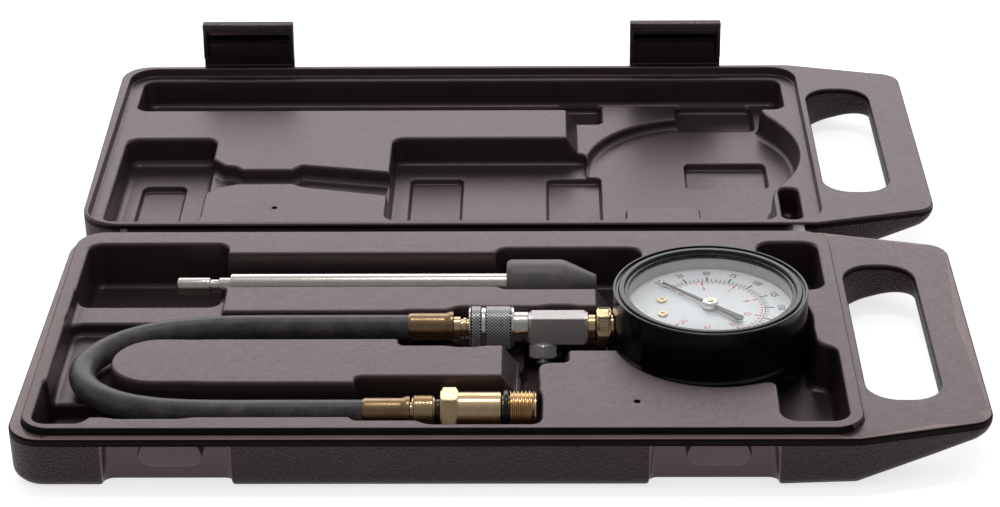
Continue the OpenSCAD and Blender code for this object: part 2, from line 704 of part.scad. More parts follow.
// Closes rings of points into one tube
module sweep(points, n, sides) polyhedron(points = points, faces = concat(
    [[for (j = [0:sides - 1]) j]],
    [for (k = [0:n - 1], j = [0:sides - 1])
        [k * sides + j, (k + 1) * sides + j, (k + 1) * sides + (j + 1) % sides]],
    [for (k = [0:n - 1], j = [0:sides - 1])
        [k * sides + j, (k + 1) * sides + (j + 1) % sides, k * sides + (j + 1) % sides]],
    [[for (j = [sides - 1:-1:0]) n * sides + j]]), convexity = 10);

module button_spring() color(steel) at_valve() translate([0, 0, nut_in + 1.3])
    wire_spring(2.28, 0.2, nut_l - 2.3, 4);

module coupler_body() color(nickel) along(0, axis_v, axis_z) difference() {
    union() {
        translate([0, 0, sleeve_u + 2.6]) cylinder(r = coupler_r, h = block_u - sleeve_u - 2.6);
        translate([0, 0, sleeve_u + 1]) cylinder(r = coupler_r - 0.6, h = 2);
        translate([0, 0, collar_u - 3.3]) cylinder(r = chamber_r - run_fit, h = 3);
    }
    translate([0, 0, sleeve_u]) cylinder(r = plug_r + run_fit, h = 13);
    translate([0, 0, sleeve_u + 5]) cylinder(r = 1.6, h = 60);
    for (a = [45:90:315]) rotate(a) translate([0, 0, ball_u]) rotate([0, 90, 0]) cylinder(r = ball_r + run_fit, h = 7);
}

module coupler_sleeve() color(nickel) along(sleeve_u, axis_v, axis_z) difference() {
    union() {
        cylinder(r1 = sleeve_r - 0.6, r2 = sleeve_r, h = 0.6);
        translate([0, 0, 0.6]) cylinder(r = sleeve_r, h = sleeve_l - 1.2);
        translate([0, 0, sleeve_l - 0.6]) cylinder(r1 = sleeve_r, r2 = sleeve_r - 0.6, h = 0.6);
    }
    translate([0, 0, -1]) cylinder(r = coupler_r + run_fit, h = sleeve_l + 2);
    translate([0, 0, -1]) cylinder(r = coupler_r + 1.2, h = 3.6);
    translate([0, 0, 6.2]) cylinder(r = chamber_r, h = sleeve_l);
    translate([0, 0, 5.6]) tube(sleeve_r + 1, sleeve_r - 0.5, 0.8);
}

module sleeve_spring() color(steel) along(sleeve_u + 6.7, axis_v, axis_z)
    wire_spring(coupler_r + 0.75, 0.45, collar_u - 3.3 - sleeve_u - 7.4, 5);

module coupler_balls() color(steel) along(ball_u, axis_v, axis_z)
    for (a = [45:90:315]) rotate(a) translate([plug_r + 1.2, 0, 0]) sphere(ball_r, $fn = 32);

module snap_ring() color(steel) along(sleeve_u + 1.3, axis_v, axis_z) difference() {
    tube(coupler_r + 0.9, coupler_r - 0.4, 1);
    rotate(90) translate([0, -1.5, -1]) cube([20, 3, 3]);
}

module hose_plug() color(brass) along(ferrule_u + ferrule_l, axis_v, axis_z) difference() {
    union() {
        translate([0, 0, 0.1]) cylinder(r = 4.6, h = 2.6);
        translate([0, 0, 2.6]) cylinder(r = plug_r, h = sleeve_u + 13 - ferrule_u - ferrule_l - 2.9);
        translate([0, 0, 4]) cylinder(r = 4.2, h = 1);
    }
    translate([0, 0, ball_u - ferrule_u - ferrule_l - 2]) tube(plug_r + 1, plug_r - 0.9, 4);
    translate([0, 0, 1]) cylinder(r = 1.6, h = 40);
}

// Smooth brass ferrule, flared where the fitting leaves it
module ferrule() difference() {
    union() {
        cylinder(r = ferrule_r - 0.3, h = 0.8);
        translate([0, 0, 0.8]) cylinder(r = ferrule_r, h = ferrule_l - 2.4);
        translate([0, 0, ferrule_l - 3]) cylinder(r1 = ferrule_r, r2 = ferrule_r + 0.7, h = 1.4);
        translate([0, 0, ferrule_l - 1.6]) cylinder(r = ferrule_r + 0.7, h = 1.6);
    }
    translate([0, 0, ferrule_l - 5]) cylinder(r = 2, h = 10);
}
module upper_ferrule() color(brass) along(ferrule_u, axis_v, axis_z) ferrule();
module lower_ferrule() color(brass) along(lower_end_u, lower_v, lower_z) ferrule();

// Rubber hose: rings of points square to the route
hose_sides = 12;
function route_dir(i) = let (last = len(hose_route) - 1,
    d = i == 0 || i == last ? [i == 0 ? -1 : 1, 0, 0] : hose_route[i + 1] - hose_route[i - 1]) d / norm(d);
function hose_ring(i) = let (t = route_dir(i), side = cross([0, 0, 1], t), w = side / norm(side), up = cross(t, w))
    [for (j = [0:hose_sides - 1]) let (a = 360 * j / hose_sides)
        hose_route[i] + hose_d / 2 * (cos(a) * w + sin(a) * up)];
module hose() color(dark) on_table() base_side()
    sweep([for (i = [0:len(hose_route) - 1]) for (q = hose_ring(i)) q], len(hose_route) - 1, hose_sides);

module swivel_collar() color(brass) along(collar2_u, lower_v, lower_z) difference() {
    union() {
        cylinder(r1 = 6.2, r2 = 6.9, h = 0.7);
        translate([0, 0, 0.7]) cylinder(r = 6.9, h = collar_l - 1.4);
        translate([0, 0, collar_l - 0.7]) cylinder(r1 = 6.9, r2 = 6.2, h = 0.7);
        translate([0, 0, collar_l - 1]) cylinder(r = 3.8, h = 8);
        translate([0, 0, -0.5]) cylinder(r = 4.5, h = 1);
    }
    translate([0, 0, -1]) cylinder(r = 1.6, h = 40);
}

module seal_washer() color(dark) along(washer_u, lower_v, lower_z) tube(5.6, 3.9, 2);

module adapter() color(brass) along(hex2_u, lower_v, lower_z) difference() {
    union() {
        rotate(30) hexagon(hex_af, hex_l);
        translate([0, 0, hex_l - 0.5]) cylinder(r = body_r, h = body_l + 0.5);
        translate([0, 0, hex_l + body_l - 0.5]) cylinder(r = body_r - 1.4, h = groove_l + 1);
        translate([0, 0, hex_l + body_l + groove_l]) thread();
    }
    translate([0, 0, -1]) cylinder(r = 3.8 + run_fit, h = 7.4);
    translate([0, 0, 2]) cylinder(r = 2.6, h = 60);
    translate([0, 0, hex_l + body_l]) cylinder(r = 3.2, h = 60);
}
thread_depth = 0.92;
module thread() rotate_extrude($fn = 64) polygon(concat([[0, 0], [thread_r - 1.4, 0]],
    [for (k = [0:floor(thread_l / thread_p) - 1]) each [
        [thread_r - thread_depth, k * thread_p + 0.1],
        [thread_r, k * thread_p + 0.65],
        [thread_r, k * thread_p + 0.85],
        [thread_r - thread_depth, (k + 1) * thread_p - 0.1]]],
    [[thread_r - 1.6, thread_l], [0, thread_l]]));

module adapter_oring() color(dark) along(groove_u + groove_l / 2, lower_v, lower_z)
    rotate_extrude($fn = 64) translate([body_r - 1.4 + 1.1, 0]) circle(1.05, $fn = 24);

// Tyre-style check valve core in the adapter's mouth
module check_valve() color(brass) along(thread_u, lower_v, lower_z) {
    translate([0, 0, 0.5]) cylinder(r = 3.1, h = 5);
    translate([0, 0, 5.5]) cylinder(r1 = 2.2, r2 = 1.2, h = 1.6);
    translate([0, 0, -6]) cylinder(r = 2.5, h = 6.5);
    translate([0, 0, 7]) cylinder(r = 0.8, h = 1.6);
}

module probe_tube() color(nickel) along(probe_u, probe_v, probe_z) difference() {
    union() {
        cylinder(r1 = plug_r - 0.5, r2 = plug_r, h = 0.6);
        translate([0, 0, 0.6]) cylinder(r = plug_r, h = 13.5);
        translate([0, 0, 14]) cylinder(r = plug_r - 0.8, h = 4);
        translate([0, 0, 17.7]) cylinder(r = plug_r, h = 5.2);
        translate([0, 0, 22.7]) cylinder(d = probe_d, h = probe_l + cone_l - 8);
    }
    translate([0, 0, -1]) cylinder(r = 2, h = probe_l + cone_l + 20);
}

module probe_cone() color(dark) along(probe_u + 22.7 + probe_l, probe_v, probe_z) difference() {
    union() {
        cylinder(d1 = cone_d - 2.4, d2 = cone_d, h = 1.6);
        translate([0, 0, 1.6]) cylinder(d = cone_d, h = cone_l * 0.65 - 1.6);
        translate([0, 0, cone_l * 0.65]) cylinder(d1 = cone_d, d2 = 9, h = cone_l * 0.35);
    }
    translate([0, 0, -1]) cylinder(d = probe_d + 2 * run_fit, h = cone_l - 7 + 0.3);
    cylinder(r = 2, h = 60);
}

case_base();
case_lid();
hinge_web();
latch_left();
latch_right();
gauge_boot();
gauge_case();
bezel_ring();
lens();
dial_spacer();
dial_plate();
dial_screws();
stop_pin();
pointer();
pinion_shaft();
sector_gear();
movement_frame();
hairspring();
link();
bourdon_tube();
gauge_stem();
valve_block();
valve_nut();
release_button();
button_spring();
coupler_body();
coupler_sleeve();
sleeve_spring();
coupler_balls();
snap_ring();
hose_plug();
upper_ferrule();
hose();
lower_ferrule();
swivel_collar();
seal_washer();
adapter();
adapter_oring();
check_valve();
probe_tube();
probe_cone();
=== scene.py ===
"""Looks of a petrol engine compression tester that lies in its open moulded case.

Lengths are in millimetres in case coordinates: u along the case from its left end,
v away from the hinge line, z up from the parting plane. They become metres in the
row frame only where a mesh is made.
"""

import logging
import math
from dataclasses import dataclass
from enum import Enum
from functools import cache
from typing import Callable, Sequence

import bmesh
import bpy
import numpy as np
from mathutils import Matrix, Vector
from mathutils.geometry import convex_hull_2d, delaunay_2d_cdt


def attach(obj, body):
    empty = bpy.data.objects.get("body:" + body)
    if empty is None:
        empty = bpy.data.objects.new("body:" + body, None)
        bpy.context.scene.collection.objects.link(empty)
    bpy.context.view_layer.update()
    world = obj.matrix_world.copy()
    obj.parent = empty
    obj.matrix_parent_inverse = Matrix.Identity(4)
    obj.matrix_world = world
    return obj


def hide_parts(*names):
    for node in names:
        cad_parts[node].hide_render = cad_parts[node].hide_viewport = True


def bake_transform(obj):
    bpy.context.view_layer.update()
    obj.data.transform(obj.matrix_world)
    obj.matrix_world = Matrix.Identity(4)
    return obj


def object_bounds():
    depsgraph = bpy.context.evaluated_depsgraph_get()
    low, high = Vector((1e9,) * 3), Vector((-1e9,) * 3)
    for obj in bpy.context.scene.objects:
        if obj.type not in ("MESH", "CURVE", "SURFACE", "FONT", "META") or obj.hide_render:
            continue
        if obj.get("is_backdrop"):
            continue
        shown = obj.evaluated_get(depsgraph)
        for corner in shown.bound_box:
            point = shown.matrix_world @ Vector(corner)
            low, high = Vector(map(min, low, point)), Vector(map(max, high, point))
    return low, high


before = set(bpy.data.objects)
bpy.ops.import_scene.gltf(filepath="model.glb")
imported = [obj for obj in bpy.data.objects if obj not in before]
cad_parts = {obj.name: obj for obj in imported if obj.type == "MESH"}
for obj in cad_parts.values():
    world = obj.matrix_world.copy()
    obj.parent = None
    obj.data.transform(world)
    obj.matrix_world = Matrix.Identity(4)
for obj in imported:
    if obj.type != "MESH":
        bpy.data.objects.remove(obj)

LOG = logging.getLogger("tester")
Array = np.ndarray
Point = tuple[float, float]
Triple = tuple[float, float, float]
Stops = Sequence[tuple[float, ...]]
Socket = bpy.types.NodeSocket
Piece = bpy.types.Object

MM = 0.001
CENTRE_U = 190.0
HINGE_Y = 2.001
PLANE_Z = 22.3
SEAM_GAP = 0.06
PLAN_SPAN = (-1.0, 3.0, 381.0, 184.0)
TRACE_STEP = 0.7
TRACE_SLACK = 0.02
EDGE_INSET = 0.02
THROUGH = -60.0
GRAIN_START = 1.6
FLANGE_WIDTH = 2.6
RISER_WIDTH = 6.5


class Half(Enum):
    """The two halves of the case: the sign turns v into the row frame's Y."""

    BASE = -1.0
    LID = 1.0


class Grain(Enum):
    """How the moulded plastic is textured."""

    SMOOTH = "smooth"
    PEBBLE = "pebble"


def row_point(half: Half, u: float, v: float, z: float) -> Vector:
    """Gives a case point in the row frame, in metres."""
    return Vector(((u - CENTRE_U) * MM, (half.value * v - HINGE_Y) * MM, (z + PLANE_Z) * MM))


def round_point(r: float, angle: float, z: float = 0.0) -> Vector:
    """A point by its radius, its angle and its height."""
    return Vector((r * math.cos(angle), r * math.sin(angle), z))


class Axis(Enum):
    """The lines along the case on which the turned pieces lie, as v and z."""

    TESTER = (88.4, -2.0)
    ADAPTER = (155.2, -3.9)
    PROBE = (45.0, -5.0)

    def at(self, u: float) -> Matrix:
        """Places a turned piece, drawn up its own Z in millimetres, with its foot at u."""
        turn = Matrix(((0, 0, 1, 0), (0, 1, 0, 0), (-1, 0, 0, 0), (0, 0, 0, 1)))
        foot = Matrix.Translation(row_point(Half.BASE, u, *self.value))
        return foot @ turn @ Matrix.Scale(MM, 4)


class Graph:
    """A node tree with short ways to add to it."""

    def __init__(self, tree: bpy.types.NodeTree) -> None:
        """Starts on a tree."""
        self.tree = tree

    def add(self, kind: str, **values: object) -> bpy.types.Node:
        """Adds a node and sets its properties or its named input sockets."""
        node = self.tree.nodes.new(kind)
        for key, value in values.items():
            if hasattr(node, key):
                setattr(node, key, value)
            else:
                node.inputs[key.replace("_", " ")].default_value = value
        return node

    def link(self, source: Socket, target: Socket) -> None:
        """Joins two sockets."""
        self.tree.links.new(source, target)

    def worked(self, operation: str, first: Socket, second: Socket | float) -> Socket:
        """Works out one value from a socket and a second socket or number."""
        node = self.add("ShaderNodeMath", operation=operation)
        self.link(first, node.inputs[0])
        if isinstance(second, float):
            node.inputs[1].default_value = second
        else:
            self.link(second, node.inputs[1])
        return node.outputs[0]


class Sketch(Graph):
    """A material's node tree round one Principled shader."""

    def __init__(self, name: str) -> None:
        """Makes an empty material of that name with its shader."""
        self.material = bpy.data.materials.new(name)
        self.material.use_nodes = True
        super().__init__(self.material.node_tree)
        self.tree.nodes.clear()
        self.output = self.add("ShaderNodeOutputMaterial")
        self.shader = self.add("ShaderNodeBsdfPrincipled")
        self.coords = self.add("ShaderNodeTexCoord")
        self.link(self.shader.outputs[0], self.output.inputs[0])

    def put(self, **values: object) -> None:
        """Sets uniform values on the shader's own sockets."""
        for key, value in values.items():
            self.shader.inputs[key.replace("_", " ")].default_value = value

    def noise(self, scale: float, detail: float = 3.0, rough: float = 0.6,
              vector: Socket | None = None) -> Socket:
        """Noise in object space; scale counts features per metre."""
        node = self.add("ShaderNodeTexNoise", Scale=scale, Detail=detail, Roughness=rough)
        self.link(self.coords.outputs["Object"] if vector is None else vector, node.inputs["Vector"])
        return node.outputs[0]

    def cells(self, scale: float, smooth: float = 0.4) -> Socket:
        """Rounded Voronoi cells in object space."""
        node = self.add("ShaderNodeTexVoronoi", feature="SMOOTH_F1", Scale=scale, Smoothness=smooth)
        self.link(self.coords.outputs["Object"], node.inputs["Vector"])
        return node.outputs["Distance"]

    def ranged(self, source: Socket, span: Point, out: Point) -> Socket:
        """Maps one range of values on another, clamped."""
        node = self.add("ShaderNodeMapRange", From_Min=span[0], From_Max=span[1],
                        To_Min=out[0], To_Max=out[1])
        self.link(source, node.inputs["Value"])
        return node.outputs[0]

    def colours(self, source: Socket, span: Point, first: Triple, second: Triple) -> None:
        """Runs the base colour from one colour to another as the source crosses a span."""
        node = self.add("ShaderNodeMix", data_type="RGBA")
        sockets = [s for s in node.inputs if s.type == "RGBA"]
        for socket, colour in zip(sockets, (first, second)):
            socket.default_value = (*colour, 1.0)
        self.link(self.ranged(source, span, (0.0, 1.0)), node.inputs[0])
        mixed = [s for s in node.outputs if s.type == "RGBA"][0]
        self.link(mixed, self.shader.inputs["Base Color"])

    def worn(self, source: Socket, span: Point, middle: float, less: float, more: float) -> None:
        """Lets the roughness vary round a middle value as the source crosses a span."""
        self.link(self.ranged(source, span, (middle - less, middle + more)), self.shader.inputs["Roughness"])

    def bump(self, height: Socket, strength: float, distance: float, under: Socket | None = None) -> Socket:
        """Adds a bump of that distance in metres, on top of another one."""
        node = self.add("ShaderNodeBump", Strength=strength, Distance=distance)
        self.link(height, node.inputs["Height"])
        if under is not None:
            self.link(under, node.inputs["Normal"])
        self.link(node.outputs[0], self.shader.inputs["Normal"])
        return node.outputs[0]


@dataclass(frozen=True)
class Moulded:
    """Blow-moulded polyethylene, smooth inside and pebbled outside."""

    name: str
    grain: Grain = Grain.SMOOTH
    colour: Triple = (0.030, 0.022, 0.023)
    shade: Triple = (0.023, 0.017, 0.018)
    roughness: float = 0.38
    level: float = 0.95
    sheen: Triple = (1.0, 0.72, 0.76)

    def build(self) -> bpy.types.Material:
        """Builds the material."""
        sketch = Sketch(self.name)
        sketch.put(Specular_Tint=(*self.sheen, 1.0), Specular_IOR_Level=self.level)
        sketch.colours(sketch.noise(42.0, 4.0), (0.35, 0.68), self.colour, self.shade)
        fine = sketch.noise(2600.0, 2.0)
        if self.grain is Grain.PEBBLE:
            pebbles = sketch.cells(1150.0)
            sketch.bump(fine, 0.25, 0.0002, sketch.bump(pebbles, 0.9, 0.0006))
            sketch.worn(pebbles, (0.1, 0.7), self.roughness, 0.06, 0.16)
        else:
            wave = sketch.noise(95.0, 2.0)
            sketch.bump(fine, 0.22, 0.00012, sketch.bump(wave, 0.16, 0.0006))
            sketch.worn(sketch.noise(700.0), (0.3, 0.7), self.roughness, 0.05, 0.06)
        return sketch.material


@dataclass(frozen=True)
class Rubber:
    """Moulded rubber, from glossy to dusty."""

    name: str
    colour: Triple
    dust: Triple
    roughness: float = 0.4
    speck: float = 0.00008

    def build(self) -> bpy.types.Material:
        """Builds the material."""
        sketch = Sketch(self.name)
        film = sketch.noise(130.0, 5.0, 0.7)
        sketch.colours(film, (0.42, 0.7), self.colour, self.dust)
        sketch.worn(film, (0.3, 0.7), self.roughness, 0.05, 0.1)
        sketch.bump(sketch.noise(1900.0, 3.0), 0.3, self.speck)
        return sketch.material


@dataclass(frozen=True)
class Metal:
    """Turned, plated or drawn metal with fine tool marks across its axis."""

    name: str
    colour: Triple
    tarnish: Triple
    roughness: float = 0.2
    metallic: float = 1.0
    marks: float = 0.00003
    along: Triple = (4200.0, 260.0, 260.0)

    def build(self) -> bpy.types.Material:
        """Builds the material."""
        sketch = Sketch(self.name)
        stain = sketch.noise(210.0, 4.0)
        sketch.put(Metallic=self.metallic)
        sketch.colours(stain, (0.45, 0.75), self.colour, self.tarnish)
        sketch.worn(stain, (0.3, 0.75), self.roughness, 0.04, 0.1)
        stretch = sketch.add("ShaderNodeMapping", vector_type="POINT", Scale=self.along)
        sketch.link(sketch.coords.outputs["Object"], stretch.inputs["Vector"])
        sketch.bump(sketch.noise(1.0, 2.0, 0.5, stretch.outputs[0]), 0.35, self.marks)
        return sketch.material


@dataclass(frozen=True)
class Enamel:
    """Painted or printed surface: dial white, ink, card."""

    name: str
    colour: Triple
    second: Triple
    roughness: float = 0.42

    def build(self) -> bpy.types.Material:
        """Builds the material."""
        sketch = Sketch(self.name)
        grain = sketch.noise(800.0, 3.0)
        sketch.colours(grain, (0.35, 0.7), self.colour, self.second)
        sketch.worn(grain, (0.3, 0.7), self.roughness, 0.04, 0.05)
        sketch.bump(grain, 0.12, 0.00002)
        return sketch.material


@dataclass(frozen=True)
class ClearPane:
    """Glass that lets lamps through, so that the dial under it is lit."""

    name: str
    roughness: float = 0.03

    def build(self) -> bpy.types.Material:
        """Builds the material."""
        sketch = Sketch(self.name)
        sketch.put(Transmission_Weight=1.0, IOR=1.12, Base_Color=(0.97, 0.98, 0.98, 1.0))
        sketch.worn(sketch.noise(60.0, 3.0), (0.3, 0.8), self.roughness, 0.02, 0.03)
        mix = sketch.add("ShaderNodeMixShader")
        sketch.link(sketch.add("ShaderNodeLightPath").outputs["Is Shadow Ray"], mix.inputs[0])
        sketch.link(sketch.shader.outputs[0], mix.inputs[1])
        sketch.link(sketch.add("ShaderNodeBsdfTransparent").outputs[0], mix.inputs[2])
        sketch.link(mix.outputs[0], sketch.output.inputs[0])
        return sketch.material


class Finish(Enum):
    INSIDE = Moulded("case_smooth")
    OUTSIDE = Moulded("case_grained", Grain.PEBBLE, roughness=0.44, level=0.45)
    # painted highlight: the rim's flange painted much lighter than the case plastic, for the light it catches
    PAINTED_LIGHT_FLANGE = Moulded("flange_painted_light", Grain.SMOOTH, (0.27, 0.20, 0.19), (0.22, 0.16, 0.155), 0.42, 0.6)
    # near-black painted shade: the shade in the gap under the rim's lip, on the rim's riser, on the latch
    # hooks and between the sleeve's knurl points
    PAINTED_SHADE = Moulded("painted_shade_groove", Grain.SMOOTH, (0.006, 0.005, 0.005), (0.004, 0.003, 0.003), 0.6, 0.1)
    LATCH_DARK = Moulded("latch_plain", Grain.SMOOTH, (0.014, 0.010, 0.010), (0.010, 0.007, 0.007), 0.34)
    LATCH_GRAIN = Moulded("latch_grained", Grain.PEBBLE, (0.05, 0.036, 0.037), (0.04, 0.029, 0.03), 0.45)
    BOOT = Rubber("boot_rubber", (0.006, 0.005, 0.006), (0.009, 0.008, 0.009), 0.16, 0.00003)
    BLACK_RING = Rubber("black_ring", (0.006, 0.006, 0.007), (0.01, 0.01, 0.011), 0.2)
    CONE = Rubber("cone_rubber", (0.13, 0.115, 0.115), (0.20, 0.175, 0.175))
    HOSE = Rubber("hose_rubber", (0.066, 0.058, 0.062), (0.15, 0.13, 0.137), 0.4, 0.00014)
    BRASS = Metal("bright_brass", (0.72, 0.54, 0.32), (0.6, 0.42, 0.22))
    # painted shade: brass darkened for the dark reflections that the ferrules show
    FERRULE_PAINTED_SHADE = Metal("ferrule_brass_painted_shade", (0.34, 0.22, 0.125), (0.25, 0.155, 0.085), 0.24)
    OLD_BRASS = Metal("movement_brass", (0.66, 0.47, 0.2), (0.5, 0.34, 0.14), 0.32)
    # painted shade: darker brown for the knurl grooves of the swivel collar
    PAINTED_SHADE_GROOVE = Metal("groove_painted_shade", (0.10, 0.085, 0.07), (0.05, 0.042, 0.036), 0.5)
    NICKEL = Metal("satin_nickel", (0.72, 0.69, 0.64), (0.6, 0.56, 0.51))
    MATT_NICKEL = Metal("matt_nickel", (0.74, 0.68, 0.68), (0.66, 0.60, 0.60), 0.24, 0.5)
    KNURLED_CHROME = Metal("knurled_chrome", (0.84, 0.82, 0.81), (0.74, 0.72, 0.71), 0.28, 0.4)
    CHROME = Metal("bright_chrome", (0.86, 0.86, 0.85), (0.74, 0.74, 0.73), 0.16)
    STEEL = Metal("spring_steel", (0.56, 0.56, 0.56), (0.44, 0.43, 0.42), 0.28)
    DIAL = Enamel("dial_enamel", (0.86, 0.87, 0.89), (0.82, 0.83, 0.86))
    BLACK_INK = Enamel("black_ink", (0.03, 0.03, 0.035), (0.045, 0.045, 0.05))
    RED_INK = Enamel("red_ink", (0.62, 0.05, 0.07), (0.55, 0.06, 0.08))
    CARD = Enamel("spacer_card", (0.42, 0.38, 0.36), (0.38, 0.345, 0.33), 0.5)
    STRESSED = Enamel("stressed_plastic", (0.42, 0.38, 0.36), (0.18, 0.155, 0.15), 0.5)
    GLASS = ClearPane("gauge_glass")


HIDDEN_NODES = {
    Finish.STEEL: ("gauge_case", "hairspring", "button_spring", "sleeve_spring", "coupler_balls",
                   "snap_ring"),
    Finish.OLD_BRASS: ("pinion_shaft", "sector_gear", "movement_frame", "link", "bourdon_tube"),
    Finish.BRASS: ("gauge_stem", "hose_plug"),
}


@cache
def paint(finish: Finish) -> bpy.types.Material:
    """Gives a finish's material, built when it is first asked for."""
    return finish.value.build()


def dress_hidden() -> None:
    for finish, nodes in HIDDEN_NODES.items():
        for node in nodes:
            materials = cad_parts[node].data.materials
            materials.clear()
            materials.append(paint(finish))
        LOG.info("%s on %s", finish.value.name, ", ".join(nodes))


def add_object(name: str, mesh: bpy.types.Mesh, finishes: Sequence[Finish]) -> Piece:
    """Puts a mesh in the scene with its finishes."""
    piece = bpy.data.objects.new(name, mesh)
    bpy.context.scene.collection.objects.link(piece)
    for finish in finishes:
        mesh.materials.append(paint(finish))
    return piece


def seat(piece: Piece, node: str = "", body: str = "base") -> Piece:
    """Fixes a piece to its body and what it stands for, and reports it.

    Args:
        piece: the finished piece.
        node: the CAD node that it replaces, if any.
        body: the body that carries it.

    Returns:
        The same piece.
    """
    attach(piece, body)
    if node:
        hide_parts(node)
    LOG.info("%s: %d faces, on %s", piece.name, len(piece.data.polygons), body)
    return piece


def shade(mesh: bpy.types.Mesh, angle: float) -> None:
    """Shades smooth, with sharp edges where faces meet at more than the angle in degrees."""
    work = bmesh.new()
    work.from_mesh(mesh)
    bmesh.ops.remove_doubles(work, verts=work.verts, dist=1e-7)
    bmesh.ops.recalc_face_normals(work, faces=work.faces)
    limit = math.radians(angle)
    for face in work.faces:
        face.smooth = True
    for edge in work.edges:
        edge.smooth = len(edge.link_faces) == 2 and edge.calc_face_angle(0.0) < limit
    work.to_mesh(mesh)
    work.free()


def from_lists(name: str, verts: Sequence[Vector], faces: Sequence[Sequence[int]], finishes: Sequence[Finish],
               sharp: float = 32.0, kinds: Sequence[int] = ()) -> Piece:
    """Makes a shaded piece from points and faces.

    Args:
        name: the piece's name.
        verts: its points in the row frame.
        faces: its faces by point numbers.
        finishes: its finishes.
        sharp: angle in degrees above which an edge stays sharp.
        kinds: which finish each face wears, all the first one if empty.

    Returns:
        The new object.
    """
    mesh = bpy.data.meshes.new(name)
    mesh.from_pydata(verts, [], faces)
    if kinds:
        mesh.polygons.foreach_set("material_index", kinds)
    shade(mesh, sharp)
    return add_object(name, mesh, finishes)


def from_work(name: str, work: bmesh.types.BMesh, finish: Finish, sharp: float,
              place: Matrix | None = None) -> Piece:
    """Ends a bmesh as a shaded piece, moved by a placement if one is given."""
    if place is not None:
        bmesh.ops.transform(work, matrix=place, verts=work.verts)
    mesh = bpy.data.meshes.new(name)
    work.to_mesh(mesh)
    work.free()
    shade(mesh, sharp)
    return add_object(name, mesh, [finish])


def filleted(stops: Stops, steps: int = 4) -> list[Point]:
    """Rounds a profile's corners.

    Args:
        stops: corner points as height, radius and, where it is rounded, the fillet.
        steps: segments in each rounded corner.

    Returns:
        Points (height, radius) in order.
    """
    out: list[Point] = []
    for index, (z, r, *fillet) in enumerate(stops):
        if not fillet or index in (0, len(stops) - 1):
            out.append((z, r))
            continue
        here = Vector((z, r))
        before = Vector(stops[index - 1][:2]) - here
        after = Vector(stops[index + 1][:2]) - here
        reach = min(fillet[0], before.length * 0.49, after.length * 0.49)
        start = here + before.normalized() * reach
        end = here + after.normalized() * reach
        for step in range(steps + 1):
            t = step / steps
            point = start * (1 - t) ** 2 + here * 2 * t * (1 - t) + end * t ** 2
            out.append((point.x, point.y))
    return out


@dataclass(frozen=True)
class Flats:
    """The flats of a square or hexagonal bar: how many, and the width across them."""

    count: int
    across: float

    def angles(self) -> list[float]:
        """The angles of its points: close together at the corners."""
        half = 180 / self.count
        turns = {4: (12, 25, 40, 43.6), 6: (9, 18, 26, 28.8)}[self.count]
        fan = [-t for t in turns[::-1]] + [0] + list(turns)
        return [math.radians(2 * half * k + a) for k in range(self.count) for a in fan]

    def cut(self, angle: float, radius: float) -> float:
        """The radius, cut to the flat at that angle."""
        half = math.pi / self.count
        bent = (angle + half) % (2 * half) - half
        return min(radius, self.across / 2 / math.cos(bent))


def turned(name: str, stops: Stops, place: Matrix, finish: Finish, sides: int = 72,
           flats: Flats | None = None, closed: bool = False) -> Piece:
    """Turns a profile round its axis.

    Args:
        name: the piece's name.
        stops: the profile, as for filleted(); a radius of 0 closes an end.
        place: matrix from the profile's millimetres to the row frame.
        finish: its finish.
        sides: segments round the axis, where it has no flats.
        flats: the flats that are cut on it.
        closed: joins the last point to the first, as in a ring.

    Returns:
        The new object.
    """
    points = filleted(stops)
    angles = flats.angles() if flats else [2 * math.pi * k / sides for k in range(sides)]
    verts = [place @ round_point(flats.cut(angle, r) if flats else r, angle, z)
             for z, r in points for angle in angles]
    count = len(angles)
    faces: list[list[int]] = []
    for ring in range(len(points) if closed else len(points) - 1):
        low, high = ring * count, ((ring + 1) % len(points)) * count
        for k in range(count):
            after = (k + 1) % count
            faces.append([low + k, low + after, high + after, high + k])
    return from_lists(name, verts, faces, [finish])


def joined(name: str, pieces: Sequence[Piece]) -> Piece:
    """Joins pieces into one object under a name, keeping their materials."""
    bpy.ops.object.select_all(action="DESELECT")
    for piece in pieces:
        piece.select_set(True)
    bpy.context.view_layer.objects.active = pieces[0]
    bpy.ops.object.join()
    whole = bpy.context.view_layer.objects.active
    whole.name = name
    whole.data.name = name
    return whole


def block(name: str, low: Triple, high: Triple, bevel: float, place: Matrix, finish: Finish,
          segments: int = 3) -> Piece:
    """Makes a box with rounded edges between two corners, in the placement's millimetres."""
    work = bmesh.new()
    bmesh.ops.create_cube(work, size=1.0)
    size = Vector(high) - Vector(low)
    middle = (Vector(high) + Vector(low)) / 2
    grow = Matrix.Translation(middle) @ Matrix.Diagonal((*size, 1.0))
    bmesh.ops.transform(work, matrix=grow, verts=work.verts)
    bmesh.ops.bevel(work, geom=list(work.edges), offset=bevel, segments=segments, profile=0.5, affect="EDGES")
    return from_work(name, work, finish, 40.0, place)


def extruded(corners: Sequence[Vector], along: Triple) -> bmesh.types.BMesh:
    """Starts a solid as a flat outline that is drawn out along a direction."""
    work = bmesh.new()
    face = work.faces.new([work.verts.new(corner) for corner in corners])
    grown = bmesh.ops.extrude_face_region(work, geom=[face])
    moved = [item for item in grown["geom"] if isinstance(item, bmesh.types.BMVert)]
    bmesh.ops.translate(work, verts=moved, vec=along)
    return work


